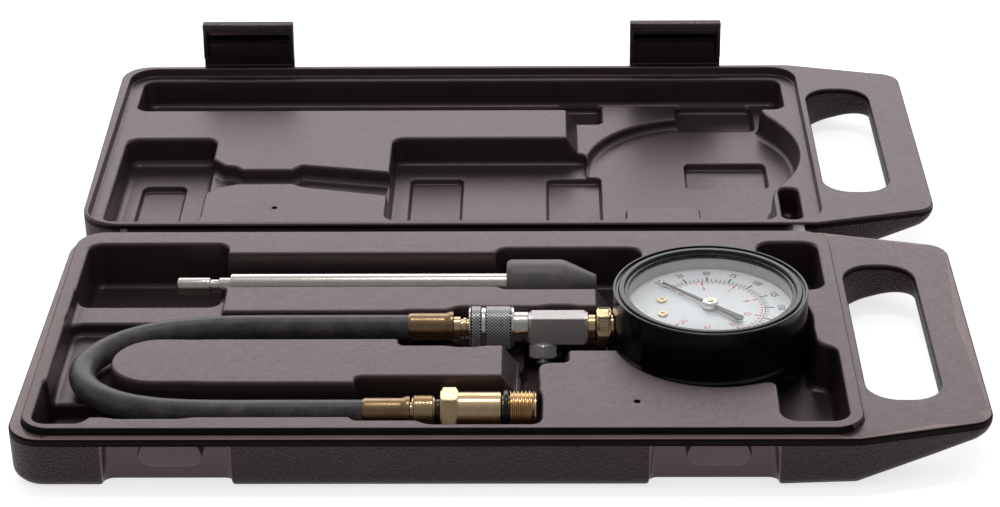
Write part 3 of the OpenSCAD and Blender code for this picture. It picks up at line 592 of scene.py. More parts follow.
def swept(name: str, line: Sequence[Vector], radius: float, finish: Finish, sides: int = 28) -> Piece:
    """Sweeps a round tube along points in the row frame.

    Args:
        name: the piece's name.
        line: the centreline, in metres.
        radius: the tube's radius, in metres.
        finish: its finish.
        sides: segments round the tube.

    Returns:
        The new object, closed at both ends.
    """
    verts: list[Vector] = []
    count = len(line)
    for index, point in enumerate(line):
        ahead = (line[min(index + 1, count - 1)] - line[max(index - 1, 0)]).normalized()
        side = ahead.cross(Vector((0, 0, 1))).normalized()
        over = side.cross(ahead)
        for k in range(sides):
            angle = 2 * math.pi * k / sides
            verts.append(point + radius * (math.cos(angle) * side + math.sin(angle) * over))
    quads = [(i * sides, k, (k + 1) % sides) for i in range(count - 1) for k in range(sides)]
    faces = [[low + k, low + after, low + sides + after, low + sides + k] for low, k, after in quads]
    faces.append(list(range(sides)))
    faces.append([(count - 1) * sides + k for k in range(sides)])
    return from_lists(name, verts, faces, [finish], 40.0)


def smooth_line(points: Sequence[Vector], steps: int) -> list[Vector]:
    """Runs a Catmull-Rom curve through points, with that many steps between two of them."""
    line: list[Vector] = []
    for k in range(len(points) - 1):
        a = points[max(k - 1, 0)]
        b, c = points[k], points[k + 1]
        d = points[min(k + 2, len(points) - 1)]
        for step in range(steps):
            t = step / steps
            line.append(0.5 * (2 * b + (c - a) * t + (2 * a - 5 * b + 4 * c - d) * t * t
                               + (3 * b - a - 3 * c + d) * t ** 3))
    line.append(points[-1].copy())
    return line


class Shape:
    """A region of the case's plan; negative distances are inside it."""

    def distance(self, u: Array, v: Array) -> Array:
        """Gives the signed distance of points from the region's edge."""
        raise NotImplementedError

    def __or__(self, other: "Shape") -> "Shape":
        """Joins two regions with a soft inner corner."""
        return Merged(self, other)

    def __sub__(self, other: "Shape") -> "Shape":
        """Takes a region out of this one, with soft corners."""
        return Outside(Merged(Outside(self), other, 3.0))


@dataclass(frozen=True)
class Panel(Shape):
    """A rectangle with rounded corners, by its limits."""

    u0: float
    v0: float
    u1: float
    v1: float
    r: float

    def distance(self, u: Array, v: Array) -> Array:
        """Signed distance."""
        x = np.abs(u - (self.u0 + self.u1) / 2) - (self.u1 - self.u0) / 2 + self.r
        y = np.abs(v - (self.v0 + self.v1) / 2) - (self.v1 - self.v0) / 2 + self.r
        return np.hypot(np.maximum(x, 0), np.maximum(y, 0)) + np.minimum(np.maximum(x, y), 0) - self.r


@dataclass(frozen=True)
class Disc(Shape):
    """A round region."""

    u: float
    v: float
    r: float

    def distance(self, u: Array, v: Array) -> Array:
        """Signed distance."""
        return np.hypot(u - self.u, v - self.v) - self.r


@dataclass(frozen=True)
class Outline(Shape):
    """A polygon whose corners are rounded by growing it."""

    points: tuple[Point, ...]
    r: float

    def distance(self, u: Array, v: Array) -> Array:
        """Signed distance."""
        best = np.full(np.shape(u), 1e9)
        inside = np.zeros(np.shape(u), bool)
        for (ax, ay), (bx, by) in zip(self.points, self.points[1:] + self.points[:1]):
            ex, ey = bx - ax, by - ay
            t = np.clip(((u - ax) * ex + (v - ay) * ey) / (ex * ex + ey * ey), 0, 1)
            best = np.minimum(best, np.hypot(u - ax - ex * t, v - ay - ey * t))
            if ay != by:
                crosses = (ay > v) != (by > v)
                inside ^= crosses & (u < ex * (v - ay) / ey + ax)
        return np.where(inside, -best, best) - self.r


@dataclass(frozen=True)
class Merged(Shape):
    """Two regions with the corners between them rounded."""

    first: Shape
    second: Shape
    soft: float = 5.0

    def distance(self, u: Array, v: Array) -> Array:
        """Signed distance."""
        a, b = self.first.distance(u, v), self.second.distance(u, v)
        near = np.maximum(self.soft - np.abs(a - b), 0) / self.soft
        return np.minimum(a, b) - near * near * self.soft / 4


@dataclass(frozen=True)
class Shared(Shape):
    """What two regions share."""

    first: Shape
    second: Shape

    def distance(self, u: Array, v: Array) -> Array:
        """Signed distance."""
        return np.maximum(self.first.distance(u, v), self.second.distance(u, v))


@dataclass(frozen=True)
class Outside(Shape):
    """Everything outside a region."""

    shape: Shape

    def distance(self, u: Array, v: Array) -> Array:
        """Signed distance."""
        return -self.shape.distance(u, v)


@dataclass(frozen=True)
class Level:
    """A floor let into the moulding, with a drafted wall and rounded edges.

    ref is the height at which the plan outline holds, and froms are the heights
    from which the wall goes down.
    """

    shape: Shape
    floor: float
    ref: float
    froms: tuple[float, ...]
    draft: float = 4.0
    top: float = 1.5
    foot: float = 2.4

    def _reach(self) -> float:
        """How far a fillet of radius 1 runs along its surfaces."""
        return math.tan(math.radians(90.0 - self.draft) / 2)

    def carve(self, height: Array, d: Array) -> Array:
        """Lets the floor into a surface.

        Args:
            height: the surface so far.
            d: signed distance from the plan outline.

        Returns:
            The new surface.
        """
        slope, sine, k = math.tan(math.radians(self.draft)), math.sin(math.radians(self.draft)), self._reach()
        drop = height - self.floor
        upper = np.clip(np.minimum(self.top, 0.49 * drop), 1e-4, None)
        lower = np.clip(np.minimum(self.foot, 0.49 * drop), 1e-4, None)
        t = d - (height - self.ref) * slope
        w = d - (self.floor - self.ref) * slope
        high = upper * k
        low = lower * k
        arc_top = height - upper + np.sqrt(np.clip(upper ** 2 - (t - high) ** 2, 0, None))
        arc_foot = self.floor + lower - np.sqrt(np.clip(lower ** 2 - (w + low) ** 2, 0, None))
        wall = self.ref + d / slope
        out = np.where(w >= low * sine, wall, np.where(w >= -low, arc_foot, self.floor))
        out = np.where(t >= -high * sine, arc_top, out)
        out = np.where(t >= high, height, out)
        return np.where(drop <= 1e-3, height, out)

    def breaks(self) -> list[float]:
        """The distances where the wall's profile turns."""
        slope, k = math.tan(math.radians(self.draft)), self._reach()
        sines = [math.sin(math.radians(90.0 - self.draft) * f) for f in (0.0, 0.35, 0.7, 1.0)]
        found: list[float] = []
        for height in self.froms:
            r = min(self.top, 0.49 * (height - self.floor))
            found += [(height - self.ref) * slope + r * k - r * sine for sine in sines]
        r = min(self.foot, 0.49 * (max(self.froms) - self.floor))
        if r > 0.01:
            found += [(self.floor - self.ref) * slope - r * k + r * sine for sine in sines]
        return found


def contour_lines(shape: Shape, offsets: Sequence[float]) -> list[Array]:
    """Traces lines of equal distance from a region's edge over the whole plan.

    Args:
        shape: the region.
        offsets: the distances to trace.

    Returns:
        One array of points for each line, closed ones ending where they begin.
    """
    us = np.arange(PLAN_SPAN[0], PLAN_SPAN[2] + TRACE_STEP, TRACE_STEP)
    vs = np.arange(PLAN_SPAN[1], PLAN_SPAN[3] + TRACE_STEP, TRACE_STEP)
    field = shape.distance(*np.meshgrid(us, vs))
    return [line for offset in offsets for line in trace(field - offset + 1e-7, us, vs)]


def trace(field: Array, us: Array, vs: Array) -> list[Array]:
    """Chains the zero crossings of a grid, cell triangle by cell triangle."""
    rows, cols = field.shape
    index = np.arange(rows * cols).reshape(rows, cols)
    corners = [index[:-1, :-1], index[:-1, 1:], index[1:, 1:], index[1:, :-1]]
    a, b, c, d = (corner.ravel() for corner in corners)
    flat = field.ravel()
    signs = flat > 0
    mixed = (signs[a] != signs[b]) | (signs[a] != signs[c]) | (signs[a] != signs[d])
    a, b, c, d = a[mixed], b[mixed], c[mixed], d[mixed]
    links: dict[tuple[int, int], list[tuple[int, int]]] = {}
    for first, second, third in ((a, b, c), (a, c, d)):
        for p, q, r in zip(first.tolist(), second.tolist(), third.tolist()):
            cut = [(min(m, n), max(m, n)) for m, n in ((p, q), (q, r), (r, p)) if signs[m] != signs[n]]
            if len(cut) == 2:
                links.setdefault(cut[0], []).append(cut[1])
                links.setdefault(cut[1], []).append(cut[0])

    def place(edge: tuple[int, int]) -> Point:
        """The zero crossing on one grid edge."""
        m, n = edge
        t = flat[m] / (flat[m] - flat[n])
        um, vm = us[m % cols], vs[m // cols]
        un, vn = us[n % cols], vs[n // cols]
        return (um + (un - um) * t, vm + (vn - vm) * t)

    lines: list[Array] = []
    seen: set[tuple[int, int]] = set()
    starts = [e for e, n in links.items() if len(n) == 1] + list(links)
    for start in starts:
        if start in seen:
            continue
        chain, onward = [], [start]
        while onward:
            chain.append(onward[0])
            seen.add(onward[0])
            onward = [n for n in links[onward[0]] if n not in seen]
        points = [place(e) for e in chain]
        if len(chain) > 2 and start in links[chain[-1]]:
            points.append(points[0])
        if len(points) > 2:
            lines.append(thinned(np.array(points)))
    return lines


def thinned(line: Array) -> Array:
    """Drops points that lie within the slack of a straight run."""
    keep = np.zeros(len(line), bool)
    keep[0] = keep[-1] = True
    if np.allclose(line[0], line[-1]):
        keep[int(np.argmax(np.hypot(*(line - line[0]).T)))] = True
    marks = np.flatnonzero(keep)
    stack = [(int(m), int(n)) for m, n in zip(marks[:-1], marks[1:])]
    while stack:
        m, n = stack.pop()
        if n - m < 2:
            continue
        run = line[n] - line[m]
        size = float(np.hypot(*run))
        away = line[m + 1:n] - line[m]
        off = np.abs(away[:, 0] * run[1] - away[:, 1] * run[0]) / size if size > 1e-9 else np.hypot(*away.T)
        worst = int(np.argmax(off))
        if off[worst] > TRACE_SLACK:
            k = m + 1 + worst
            keep[k] = True
            stack += [(m, k), (k, n)]
    return line[keep]


@dataclass
class Skin:
    """One side of a moulded half: a surface over the case's plan, sign 1 up and -1 down."""

    start: Callable[[Array, Array], Array]
    levels: Sequence[Level]
    sign: float

    def height(self, u: Array, v: Array) -> Array:
        """The surface's height at plan points."""
        out = self.start(u, v)
        for level in self.levels:
            out = level.carve(out, level.shape.distance(u, v))
        return self.sign * out

    def lines(self) -> list[Array]:
        """All lines along which the surface turns."""
        return [line for level in self.levels for line in contour_lines(level.shape, level.breaks())]


@dataclass
class Patch:
    """A part of a half's mesh: plan points with heights, normals, faces and their finishes."""

    points: Array
    normals: Array
    faces: Array
    kinds: Array


@dataclass
class MouldedHalf:
    """One half of the case as two skins that meet round the rim and the hand hole.

    plain are the zones of the underside that have no grain. The finishes are the smooth
    tray side, the grained outer side, the near-black painted shade of the seam's groove and
    the riser, and, on the base, the flange painted lighter as a painted highlight.
    """

    name: str
    half: Half
    outline: Shape
    hole: Shape
    top: Skin
    bottom: Skin
    finishes: Sequence[Finish]
    plain: Sequence[Shape] = ()

    def _room(self, points: Array) -> Array:
        """How far plan points lie inside the half."""
        return np.minimum(-self.outline.distance(*points.T), self.hole.distance(*points.T))

    def _on_case(self, line: Array) -> list[Array]:
        """The runs of a line that lie on the case, long steps over its edge cut there."""
        keep = self._room(line) > EDGE_INSET
        crossed = np.flatnonzero((keep[1:] != keep[:-1]) & (np.hypot(*(line[1:] - line[:-1]).T) > 0.3))
        first = keep[crossed][:, None]
        kept = np.where(first, line[crossed], line[crossed + 1])
        left = np.where(first, line[crossed + 1], line[crossed])
        for _ in range(16):
            middle = (kept + left) / 2
            good = (self._room(middle) > EDGE_INSET)[:, None]
            kept, left = np.where(good, middle, kept), np.where(good, left, middle)
        line = np.insert(line, crossed + 1, kept, axis=0)
        keep = np.insert(keep, crossed + 1, True)
        runs = np.split(np.arange(len(line)), np.flatnonzero(np.diff(keep.astype(int))) + 1)
        return [line[run] for run in runs if keep[run[0]] and len(run) > 1]

    def _triangles(self, lines: Sequence[Array]) -> tuple[Array, Array]:
        """Triangulates the plan along lines and a loose grid; gives points and faces."""
        points: list[Vector] = []
        links: list[tuple[int, int]] = []
        for line in lines:
            first = len(points)
            closed = np.allclose(line[0], line[-1])
            body = line[:-1] if closed else line
            points += [Vector(p) for p in body.tolist()]
            links += [(first + k, first + k + 1) for k in range(len(body) - 1)]
            if closed:
                links.append((first + len(body) - 1, first))
        points += [Vector((u, v)) for u in np.arange(6.0, 378.0, 9.0) for v in np.arange(9.0, 180.0, 9.0)]
        verts, _, faces, _, _, _ = delaunay_2d_cdt(points, links, [], 0, 1e-3)
        flat = np.array([(p.x, p.y) for p in verts])
        tri = np.array([f for f in faces if len(f) == 3])
        inside = self._room(flat[tri].mean(axis=1)) > 0
        used, order = np.unique(tri[inside], return_inverse=True)
        return flat[used], order.reshape(-1, 3)

    def _skin(self, skin: Skin, edge: Sequence[Array]) -> Patch:
        """Meshes a skin so that it looks up or down in the row frame."""
        inside = [run for line in skin.lines() for run in self._on_case(line)]
        flat, tri = self._triangles([*edge, *inside])
        u, v = flat.T
        e = 0.06
        slope_u = (skin.height(u + e, v) - skin.height(u - e, v)) / (2 * e)
        slope_v = (skin.height(u, v + e) - skin.height(u, v - e)) / (2 * e)
        normals = np.stack([-slope_u, -slope_v * self.half.value, np.ones(len(u))], axis=1) * skin.sign
        normals /= np.linalg.norm(normals, axis=1)[:, None]
        a, b, c = flat[tri].transpose(1, 0, 2)
        area = (b - a)[:, 0] * (c - a)[:, 1] - (b - a)[:, 1] * (c - a)[:, 0]
        faces = np.where((area * self.half.value * skin.sign > 0)[:, None], tri, tri[:, ::-1])
        points = np.stack([u, v, skin.height(u, v) - (SEAM_GAP / 2 if skin.sign > 0 else 0.0)], axis=1)
        middle = points[faces].mean(axis=1)
        steep = np.abs(normals[faces][:, :, 2]).min(axis=1) < 0.75
        kinds = self._tray_kinds(middle, steep) if skin.sign > 0 else self._under_kinds(middle)
        return Patch(points, normals, faces, kinds)

    def _tray_kinds(self, middle: Array, steep: Array) -> Array:
        """The tray's finishes: 3, a painted highlight, on the flange; 2, painted shade, on the riser above
        it; else 0.
        """
        if len(self.finishes) < 4:
            return np.zeros(len(middle), int)
        inward = -self.outline.distance(*middle[:, :2].T)
        # the riser wears near-black painted shade and the flange a lighter painted highlight
        riser = (inward < RISER_WIDTH) & (middle[:, 2] > -4.0) & steep
        return np.select([riser, inward < FLANGE_WIDTH], [2, 3], 0)

    def _under_kinds(self, middle: Array) -> Array:
        """The underside's finishes: 0 in the plain zones, else 1."""
        bare = np.zeros(len(middle), bool)
        for shape in self.plain:
            bare |= shape.distance(*middle[:, :2].T) < GRAIN_START
        return np.where(bare, 0, 1)

    def _band(self, line: Array) -> Patch:
        """The narrow upright strip where the two skins meet along one edge line, in near-black painted shade.
        """
        u, v = line.T
        high, low = self.top.height(u, v) - SEAM_GAP / 2, self.bottom.height(u, v)
        e = 0.1
        field = self.outline if self.outline.distance(u, v).mean() > -1 else Outside(self.hole)
        out_u = (field.distance(u + e, v) - field.distance(u - e, v)) / (2 * e)
        out_v = (field.distance(u, v + e) - field.distance(u, v - e)) / (2 * e) * self.half.value
        normal = np.stack([out_u, out_v, np.zeros(len(u))], axis=1)
        normal /= np.maximum(np.linalg.norm(normal, axis=1), 1e-6)[:, None]
        points = np.concatenate([np.stack([u, v, high], axis=1), np.stack([u, v, low], axis=1)])
        k, count = np.arange(len(line) - 1), len(line)
        quads = np.stack([k, k + 1, count + k + 1, count + k], axis=1)
        turn = np.diff(u) * normal[:-1, 1] - np.diff(v) * self.half.value * normal[:-1, 0]
        faces = np.where((turn > 0)[:, None], quads, quads[:, ::-1])
        # finish 2 on the strip is near-black painted shade
        return Patch(points, np.concatenate([normal, normal]), faces, np.full(len(faces), 2))

    def build(self) -> Piece:
        """Makes the half's mesh in the row frame."""
        edge = contour_lines(self.outline, [-EDGE_INSET]) + contour_lines(self.hole, [EDGE_INSET])
        patches = [self._skin(self.top, edge), self._skin(self.bottom, edge), *map(self._band, edge)]
        offsets = np.cumsum([0] + [len(patch.points) for patch in patches])
        u, v, z = np.concatenate([patch.points for patch in patches]).T
        row = np.stack([u - CENTRE_U, self.half.value * v - HINGE_Y, z + PLANE_Z], axis=1) * MM
        faces = [face for patch, first in zip(patches, offsets) for face in (patch.faces + first).tolist()]
        mesh = bpy.data.meshes.new(self.name)
        mesh.from_pydata(row.tolist(), [], faces)
        mesh.polygons.foreach_set("use_smooth", [True] * len(faces))
        kinds = np.concatenate([patch.kinds for patch in patches])
        normals = np.concatenate([patch.normals for patch in patches])
        mesh.polygons.foreach_set("material_index", kinds.tolist())
        mesh.normals_split_custom_set_from_vertices(normals.tolist())
        return add_object(self.name, mesh, self.finishes)


def knurled(name: str, place: Matrix, span: Point, radius: float, depth: float, around: int,
            finish: Finish, groove: Finish) -> Piece:
    """Makes a diamond-knurled band: blunt points that stand on a dull cylinder painted darker as painted
    shade.

    Args:
        name: the piece's name.
        place: matrix from millimetres along the axis to the row frame.
        span: where the band starts and ends on the axis.
        radius: radius over the points.
        depth: depth of the grooves.
        around: diamonds round the band.
        finish: its finish.
        groove: the finish between the points, painted darker as painted shade.

    Returns:
        The new object, open at both ends.
    """
    foot_share, head_share = 0.76, 0.6
    corners = ((-1, 0), (0, -1), (1, 0), (0, 1))
    rows = max(2, int(round((span[1] - span[0]) * around / (math.pi * radius))))
    step = (span[1] - span[0]) / rows
    low, count = radius - depth, 2 * around
    verts, faces, kinds = [], [], []

    def add(r: float, i: float, j: float) -> int:
        """Adds a point of the band's grid."""
        verts.append(place @ round_point(r, math.pi * i / around, span[0] + step * j))
        return len(verts) - 1
    first, last = [[add(low, i, j) for i in range(count)] for j in (0, rows)]
    for i in range(count):
        after = (i + 1) % count
        faces.append([first[i], first[after], last[after], last[i]])
        # the cylinder between the points wears the groove finish: painted shade
        kinds.append(1)
    for j in range(1, rows):
        for i in range(j % 2, count, 2):
            foot, head = [[add(r, i + share * x, j + share * y) for x, y in corners]
                          for r, share in ((low, foot_share), (radius, head_share))]
            faces.append(head)
            faces += [[foot[k], foot[(k + 1) % 4], head[(k + 1) % 4], head[k]] for k in range(4)]
            kinds += [0] * 5
    return from_lists(name, verts, faces, [finish, groove], 14.0, kinds)


def threaded(name: str, place: Matrix, span: Point, radius: float, depth: float, pitch: float,
             finish: Finish, sides: int = 64) -> Piece:
    """Makes a right-handed screw thread whose crest is a true helix.

    Args:
        name: the piece's name.
        place: matrix from millimetres along the axis to the row frame.
        span: where the thread starts and ends on the axis.
        radius: radius over the crests.
        depth: depth of the thread.
        pitch: distance between crests.
        finish: its finish.
        sides: segments round the axis.

    Returns:
        The new object, open at both ends.
    """
    shape = ((0.0, 1.0), (0.08, 1.0), (0.44, 0.0), (0.56, 0.0), (0.92, 1.0))
    turns = int((span[1] - span[0]) / pitch) + 2
    rings = [(turn + t, down) for turn in range(-1, turns) for t, down in shape]
    verts, faces = [], []
    for turn, down in rings:
        for k in range(sides):
            z = span[0] + pitch * (turn + k / sides)
            fade = min(1.0, max(0.0, (span[1] - z) / pitch))
            r = radius - depth * (1 - fade * (1 - down))
            verts.append(place @ round_point(r, -2 * math.pi * k / sides, min(max(z, span[0]), span[1])))
    step = len(shape)
    for ring in range(len(rings) - 1):
        for k in range(sides):
            a, d = ring * sides + k, (ring + 1) * sides + k
            if k + 1 < sides:
                faces.append([a, a + 1, d + 1, d])
            elif ring + step + 1 < len(rings):
                faces.append([a, (ring + step) * sides, (ring + step + 1) * sides, d])
    return from_lists(name, verts, faces, [finish], 30.0)


@dataclass(frozen=True)
class CaseSizes:
    """Main sizes of the moulded case, in millimetres."""

    depth: float = 182.3
    height: float = 22.3
    platform: float = 2.8
    tray: float = 4.0
    pocket: float = 17.6
    recess_width: float = 47.5
    recess_depth: float = 7.0
    lid_recess_depth: float = 2.0
    flange: float = 2.4
    handle_start: float = 326.0
    handle_run: float = 44.0
    handle_end: float = 10.0
    latch_us: Point = (61.6, 271.8)

    def outline(self) -> Shape:
        """The case's plan outline: rounded corners, each given by its centre and radius."""
        grow, start = 7.9, self.handle_start
        corners = ((14.0, 168.3, 14.0), (20.0, 22.5, 18.0), (start, 174.3, 8.0), (start, 12.5, 8.0),
                   (370.0, 161.0, 10.0), (370.0, 26.0, 10.0))
        turns = [math.radians(a) for a in range(0, 360, 10)]
        rim = [(round(u + (r - grow) * math.cos(turn), 4), round(v + (r - grow) * math.sin(turn), 4))
               for u, v, r in corners for turn in turns]
        return Outline(tuple(rim[k] for k in convex_hull_2d([Vector(p) for p in rim])), grow)

    def hand_hole(self) -> Shape:
        """The plan of the hole through the handle."""
        return Panel(333.0, 36.5, 363.0, 151.5, 13.0)

    def recesses(self, depth: float) -> list[Shape]:
        """The plans of the two latch recesses."""
        half, front = self.recess_width / 2, self.depth - depth
        return [Panel(u - half, front, u + half, self.depth + 30.0, 2.5) for u in self.latch_us]


ISLAND_EDGE = ((55, 109), (188, 109), (188, 114), (194, 124), (189, 135), (191, 139), (55, 139))
ISLAND = Merged(Disc(52.0, 124.0, 18.0), Outline(ISLAND_EDGE, 3.0), 1.0)
GAUGE_BAY = Merged(Disc(274.5, 88.4, 42.0), Disc(275.5, 105.4, 40.5), 2.0)
BAY_ENDS = Merged(Panel(298, 19.5, 324, 63.5, 7), Panel(297.8, 112, 324, 172.4, 7))
VALVE_PASSAGE = Merged(Panel(196.8, 108, 204.5, 148, 3), Panel(197.5, 84, 216.5, 126, 3))
BOTTLE = Outline(((48, 80), (53, 80), (58.5, 73), (64, 71.5), (67.5, 67.8), (92, 67.8), (96, 72.5),
                  (138, 64.3), (138, 44), (99, 53.2), (92.5, 57), (66, 56.7), (57, 52.5), (51.5, 46),
                  (48, 46)), 2.0)


@dataclass
class MouldedCase:
    """The two blow-moulded halves with their trays, outer skins and catches."""

    sizes: CaseSizes

    def _outer(self, half: Half) -> Skin:
        """The underside, drawn upside down: wall, rounded edge, handle and latch recesses."""
        s = self.sizes

        def under(u: Array, v: Array) -> Array:
            """Depth of the bottom below the parting plane, less under the handle."""
            slope = (s.height - s.handle_end) / s.handle_run
            ramp = s.height - (u - s.handle_start) * slope
            near = np.maximum(4.0 - np.abs(s.height - ramp), 0) / 4.0
            return np.minimum(s.height, ramp) - near * near + 0 * v
        levels = [
            Level(Outside(s.outline()), THROUGH, s.flange, (s.height, 16.0, s.handle_end), 1.8, 5.5, 0.0),
            Level(s.hand_hole(), THROUGH, 2.1, (20.0, 16.0, 11.5), 3.0, 3.0, 0.0),
        ]
        depth, draft = (s.recess_depth, 4.0) if half is Half.BASE else (s.lid_recess_depth, 3.0)
        for room in s.recesses(depth):
            levels.append(Level(room, s.flange, s.flange, (s.height,), draft, 1.2, min(1.2, depth / 2)))
        return Skin(under, levels, -1.0)

    def _tray(self, face: float, levels: Sequence[Level]) -> Skin:
        """A tray from its face's height and its levels, with the rim and the hole's edge rounded."""
        def flat(u: Array, _: Array) -> Array:
            """The face before anything is let into it."""
            return np.full(np.shape(u), face)
        rims = [
            Level(Outside(self.sizes.outline()), THROUGH, 0.0, (0.0,), 0.2, 1.2, 0.0),
            Level(self.sizes.hand_hole(), THROUGH, 0.0, (0.0,), 0.2, 0.9, 0.0),
        ]
        return Skin(flat, [*levels, *rims], 1.0)

    def base(self) -> Piece:
        s, up = self.sizes, self.sizes.platform
        deep = (Panel(11, 20, 71.5, 66, 6) | (Panel(9.2, 137, 31, 173.6, 6) - ISLAND)
                | Merged(VALVE_PASSAGE, Merged(GAUGE_BAY, BAY_ENDS, 6.0)))
        hose = Merged(Panel(10.5, 80, 70, 168.8, 6), Panel(40, 141.5, 140, 168.8, 3)) - ISLAND
        coupler_bay = (Panel(148, 81.6, 180, 111.5, 3) | Panel(170, 78.6, 218, 111.5, 3)
                       | Panel(208, 78.6, 242, 116, 3))
        adapter_bay = Panel(132, 137.2, 204.5, 171.5, 3) | Panel(160.5, 150, 204.5, 174.3, 3)
        levels = [
            Level(Outside(Panel(5, 8.5, 329.4, 178.2, 12)), 0.0, up, (up,), 10.0, 0.8, 0.4),
            Level(Panel(10.5, 60, 74, 92, 4), -4.0, up, (up,)),
            Level(Panel(60, 82.5, 160, 106, 3), -7.6, up, (up, -4.0)),
            Level(hose, -9.5, up, (up, -4.0, -7.6)),
            Level(Panel(68, 29.5, 200, 60, 3), -10.5, up, (up, -4.0)),
            Level(coupler_bay, -11.1, up, (up, -7.6)),
            Level(adapter_bay, -13.0, up, (up, -9.5)),
            Level(Panel(186, 24.6, 248.4, 62.5, 6), -16.3, up, (up, -10.5)),
            Level(deep, -s.pocket, up, (up, -4.0, -9.5, -11.1, -13.0)),
            Level(Panel(189.7, 98, 202, 152, 2), -9.0, up, (up,), 36.0, 1.0, 1.0),
            Level(Panel(228, 48, 262, 92, 2), -9.0, up, (up,), 36.0, 1.0, 1.0),
            Level(Disc(242.7, 157.9, 1.3), -4.0, up, (up,), 1.0, 0.25, 0.0),
        ]
        # the third finish is near-black painted shade; the fourth paints the flange lighter as a painted
        # highlight
        finishes = (Finish.INSIDE, Finish.OUTSIDE, Finish.PAINTED_SHADE, Finish.PAINTED_LIGHT_FLANGE)
        body = MouldedHalf("case_base_shell", Half.BASE, s.outline(), s.hand_hole(),
                           self._tray(up, levels), self._outer(Half.BASE), finishes,
                           s.recesses(s.recess_depth))
        return seat(body.build(), "case_base")

    def lid(self) -> Piece:
        """The open half: a sunk tray with its own pockets."""
        s, down = self.sizes, -self.sizes.tray
        floor, gauge_floor, bottle, ridge = -s.pocket, -s.pocket + 0.6, -11.0, -12.0
        room = Shared(Disc(280.5, 90.0, 54.5), Disc(258.0, 90.0, 67.7)) | Panel(200, 17, 310, 88, 6)
        room = (room | Panel(285, 118, 311, 160, 4)) - Panel(243.5, -20, 276.5, 29.8, 4)
        trough = Panel(11, 137.3, 322.5, 173, 6) - Panel(234.6, 80, 271, 159, 3)
        levels = [
            Level(Panel(4.4, 7.9, 330, 178.8, 12.6), down, 0.0, (0.0,), 6.0, 0.7, 0.7),
            Level(BOTTLE, bottle, down, (down,), 8.0, 1.5, 3.0),
            Level(Panel(217.5, 80, 290, 168, 3), ridge, down, (down,), 34.0, 1.5, 1.5),
            Level(room, gauge_floor, down, (down, ridge)),
            Level(trough | Panel(312.8, 17, 321.8, 49, 4), floor, down, (down, ridge)),
            Level(Panel(11, 16, 53.5, 104.6, 6), floor, down, (down, bottle), 4.0, 1.8, 3.6),
            Level(Panel(136, 17, 228, 104.7, 6), floor, down, (down, bottle, ridge, gauge_floor),
                  4.0, 1.5, 2.0),
            Level(Panel(269.5, 139, 311, 172.6, 6), floor - 3.6, down, (down, ridge, gauge_floor, floor),
                  9.0, 1.5, 1.6),
            Level(Panel(213, 137.3, 236, 172.6, 4), floor - 3.6, down, (down, ridge, floor), 6.0, 1.5, 1.6),
        ]
        pads = (Panel(20.5, 10, 41, 80.5, 4), Panel(145, 20, 169.5, 88, 3),
                Panel(208.3, 20, 233.5, 87.5, 3), Panel(273, 75.5, 311, 102.5, 3))
        for pad in pads:
            levels.append(Level(pad, floor - 2.7, floor, (floor, gauge_floor), 16.0, 1.1, 1.0))
        levels.append(Level(Disc(86.2, 29.3, 1.3), -9.0, down, (down,), 1.0, 0.25, 0.0))
        # the third finish is near-black painted shade
        finishes = (Finish.INSIDE, Finish.OUTSIDE, Finish.PAINTED_SHADE)
        body = MouldedHalf("case_lid_shell", Half.LID, s.outline(), s.hand_hole(),
                           self._tray(0.0, levels), self._outer(Half.LID), finishes)
        return seat(body.build(), "case_lid", "lid")

    def catches(self) -> None:
        """The half-moon lugs that the latches hook under."""
        s, shift, top, foot = self.sizes, 1.6, -2.4, -12.9
        half, half_top, corner = 12.5, 10.5, 5.5
        for side, u in zip(("left", "right"), (place + shift for place in s.latch_us)):
            left = [(u - half + corner * (1 - math.cos(a)), foot + corner * (1 - math.sin(a)))
                    for a in np.linspace(0, 1.57, 8)]
            right = [(2 * u - x, z) for x, z in left[::-1]]
            rim = [(u - half_top, top), *left, *right, (u + half_top, top)]
            back = s.depth - s.recess_depth - 1.5
            work = extruded([row_point(Half.BASE, x, back, z) for x, z in rim], (0, -7.0 * MM, 0))
            bmesh.ops.bevel(work, geom=list(work.edges), offset=1.1 * MM, segments=4, profile=0.5,
                            affect="EDGES")
            seat(from_work(f"catch_{side}", work, Finish.INSIDE, 50.0))

    def web(self) -> None:
        """The thin folded strip between the halves, whitened where it is cut off."""
        verts, faces, kinds = [], [], []
        parts, turns, start, length = 120, 12, 21.0, 300.0
        outer, inner, cut_start, cut_run = 4.5, 3.7, 312.0, 5.0
        us = [start + length * k / parts for k in range(parts + 1)]
        for r in (outer, inner):
            for u in us:
                ragged = 0.5 * math.sin(u * 2.3) if u in (us[0], us[-1]) else 0.0
                lift = min(1.0, max(0.0, (u - cut_start) / cut_run))
                for a in (math.pi * k / turns for k in range(turns + 1)):
                    crease = 0.35 * lift * math.sin(3.1 * u + 2.0 * a)
                    drop = 2.2 - 1.5 * lift + crease + r * math.sin(a) * (1.0 - 0.8 * lift)
                    verts.append(row_point(Half.BASE, u + ragged, math.cos(a) * r, -drop))
        row = turns + 1
        for layer in range(2):
            for i in range(parts):
                for k in range(turns):
                    a = (layer * (parts + 1) + i) * row + k
                    quad = [a, a + 1, a + row + 1, a + row]
                    faces.append(quad if layer else quad[::-1])
                    kinds.append(1 if i > parts - 3 or i < 1 else 0)
        piece = from_lists("hinge_strip", verts, faces, [Finish.INSIDE, Finish.STRESSED], 50.0, kinds)
        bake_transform(piece)
        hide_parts("hinge_web")
        LOG.info("hinge_strip: %d faces, between base and lid", len(faces))

    def build(self) -> None:
        """Makes the whole case with its latches."""
        self.base()
        self.lid()
        self.catches()
        self.web()
        for name, u in zip(("latch_left", "latch_right"), self.sizes.latch_us):
            Latch(name, u).build()


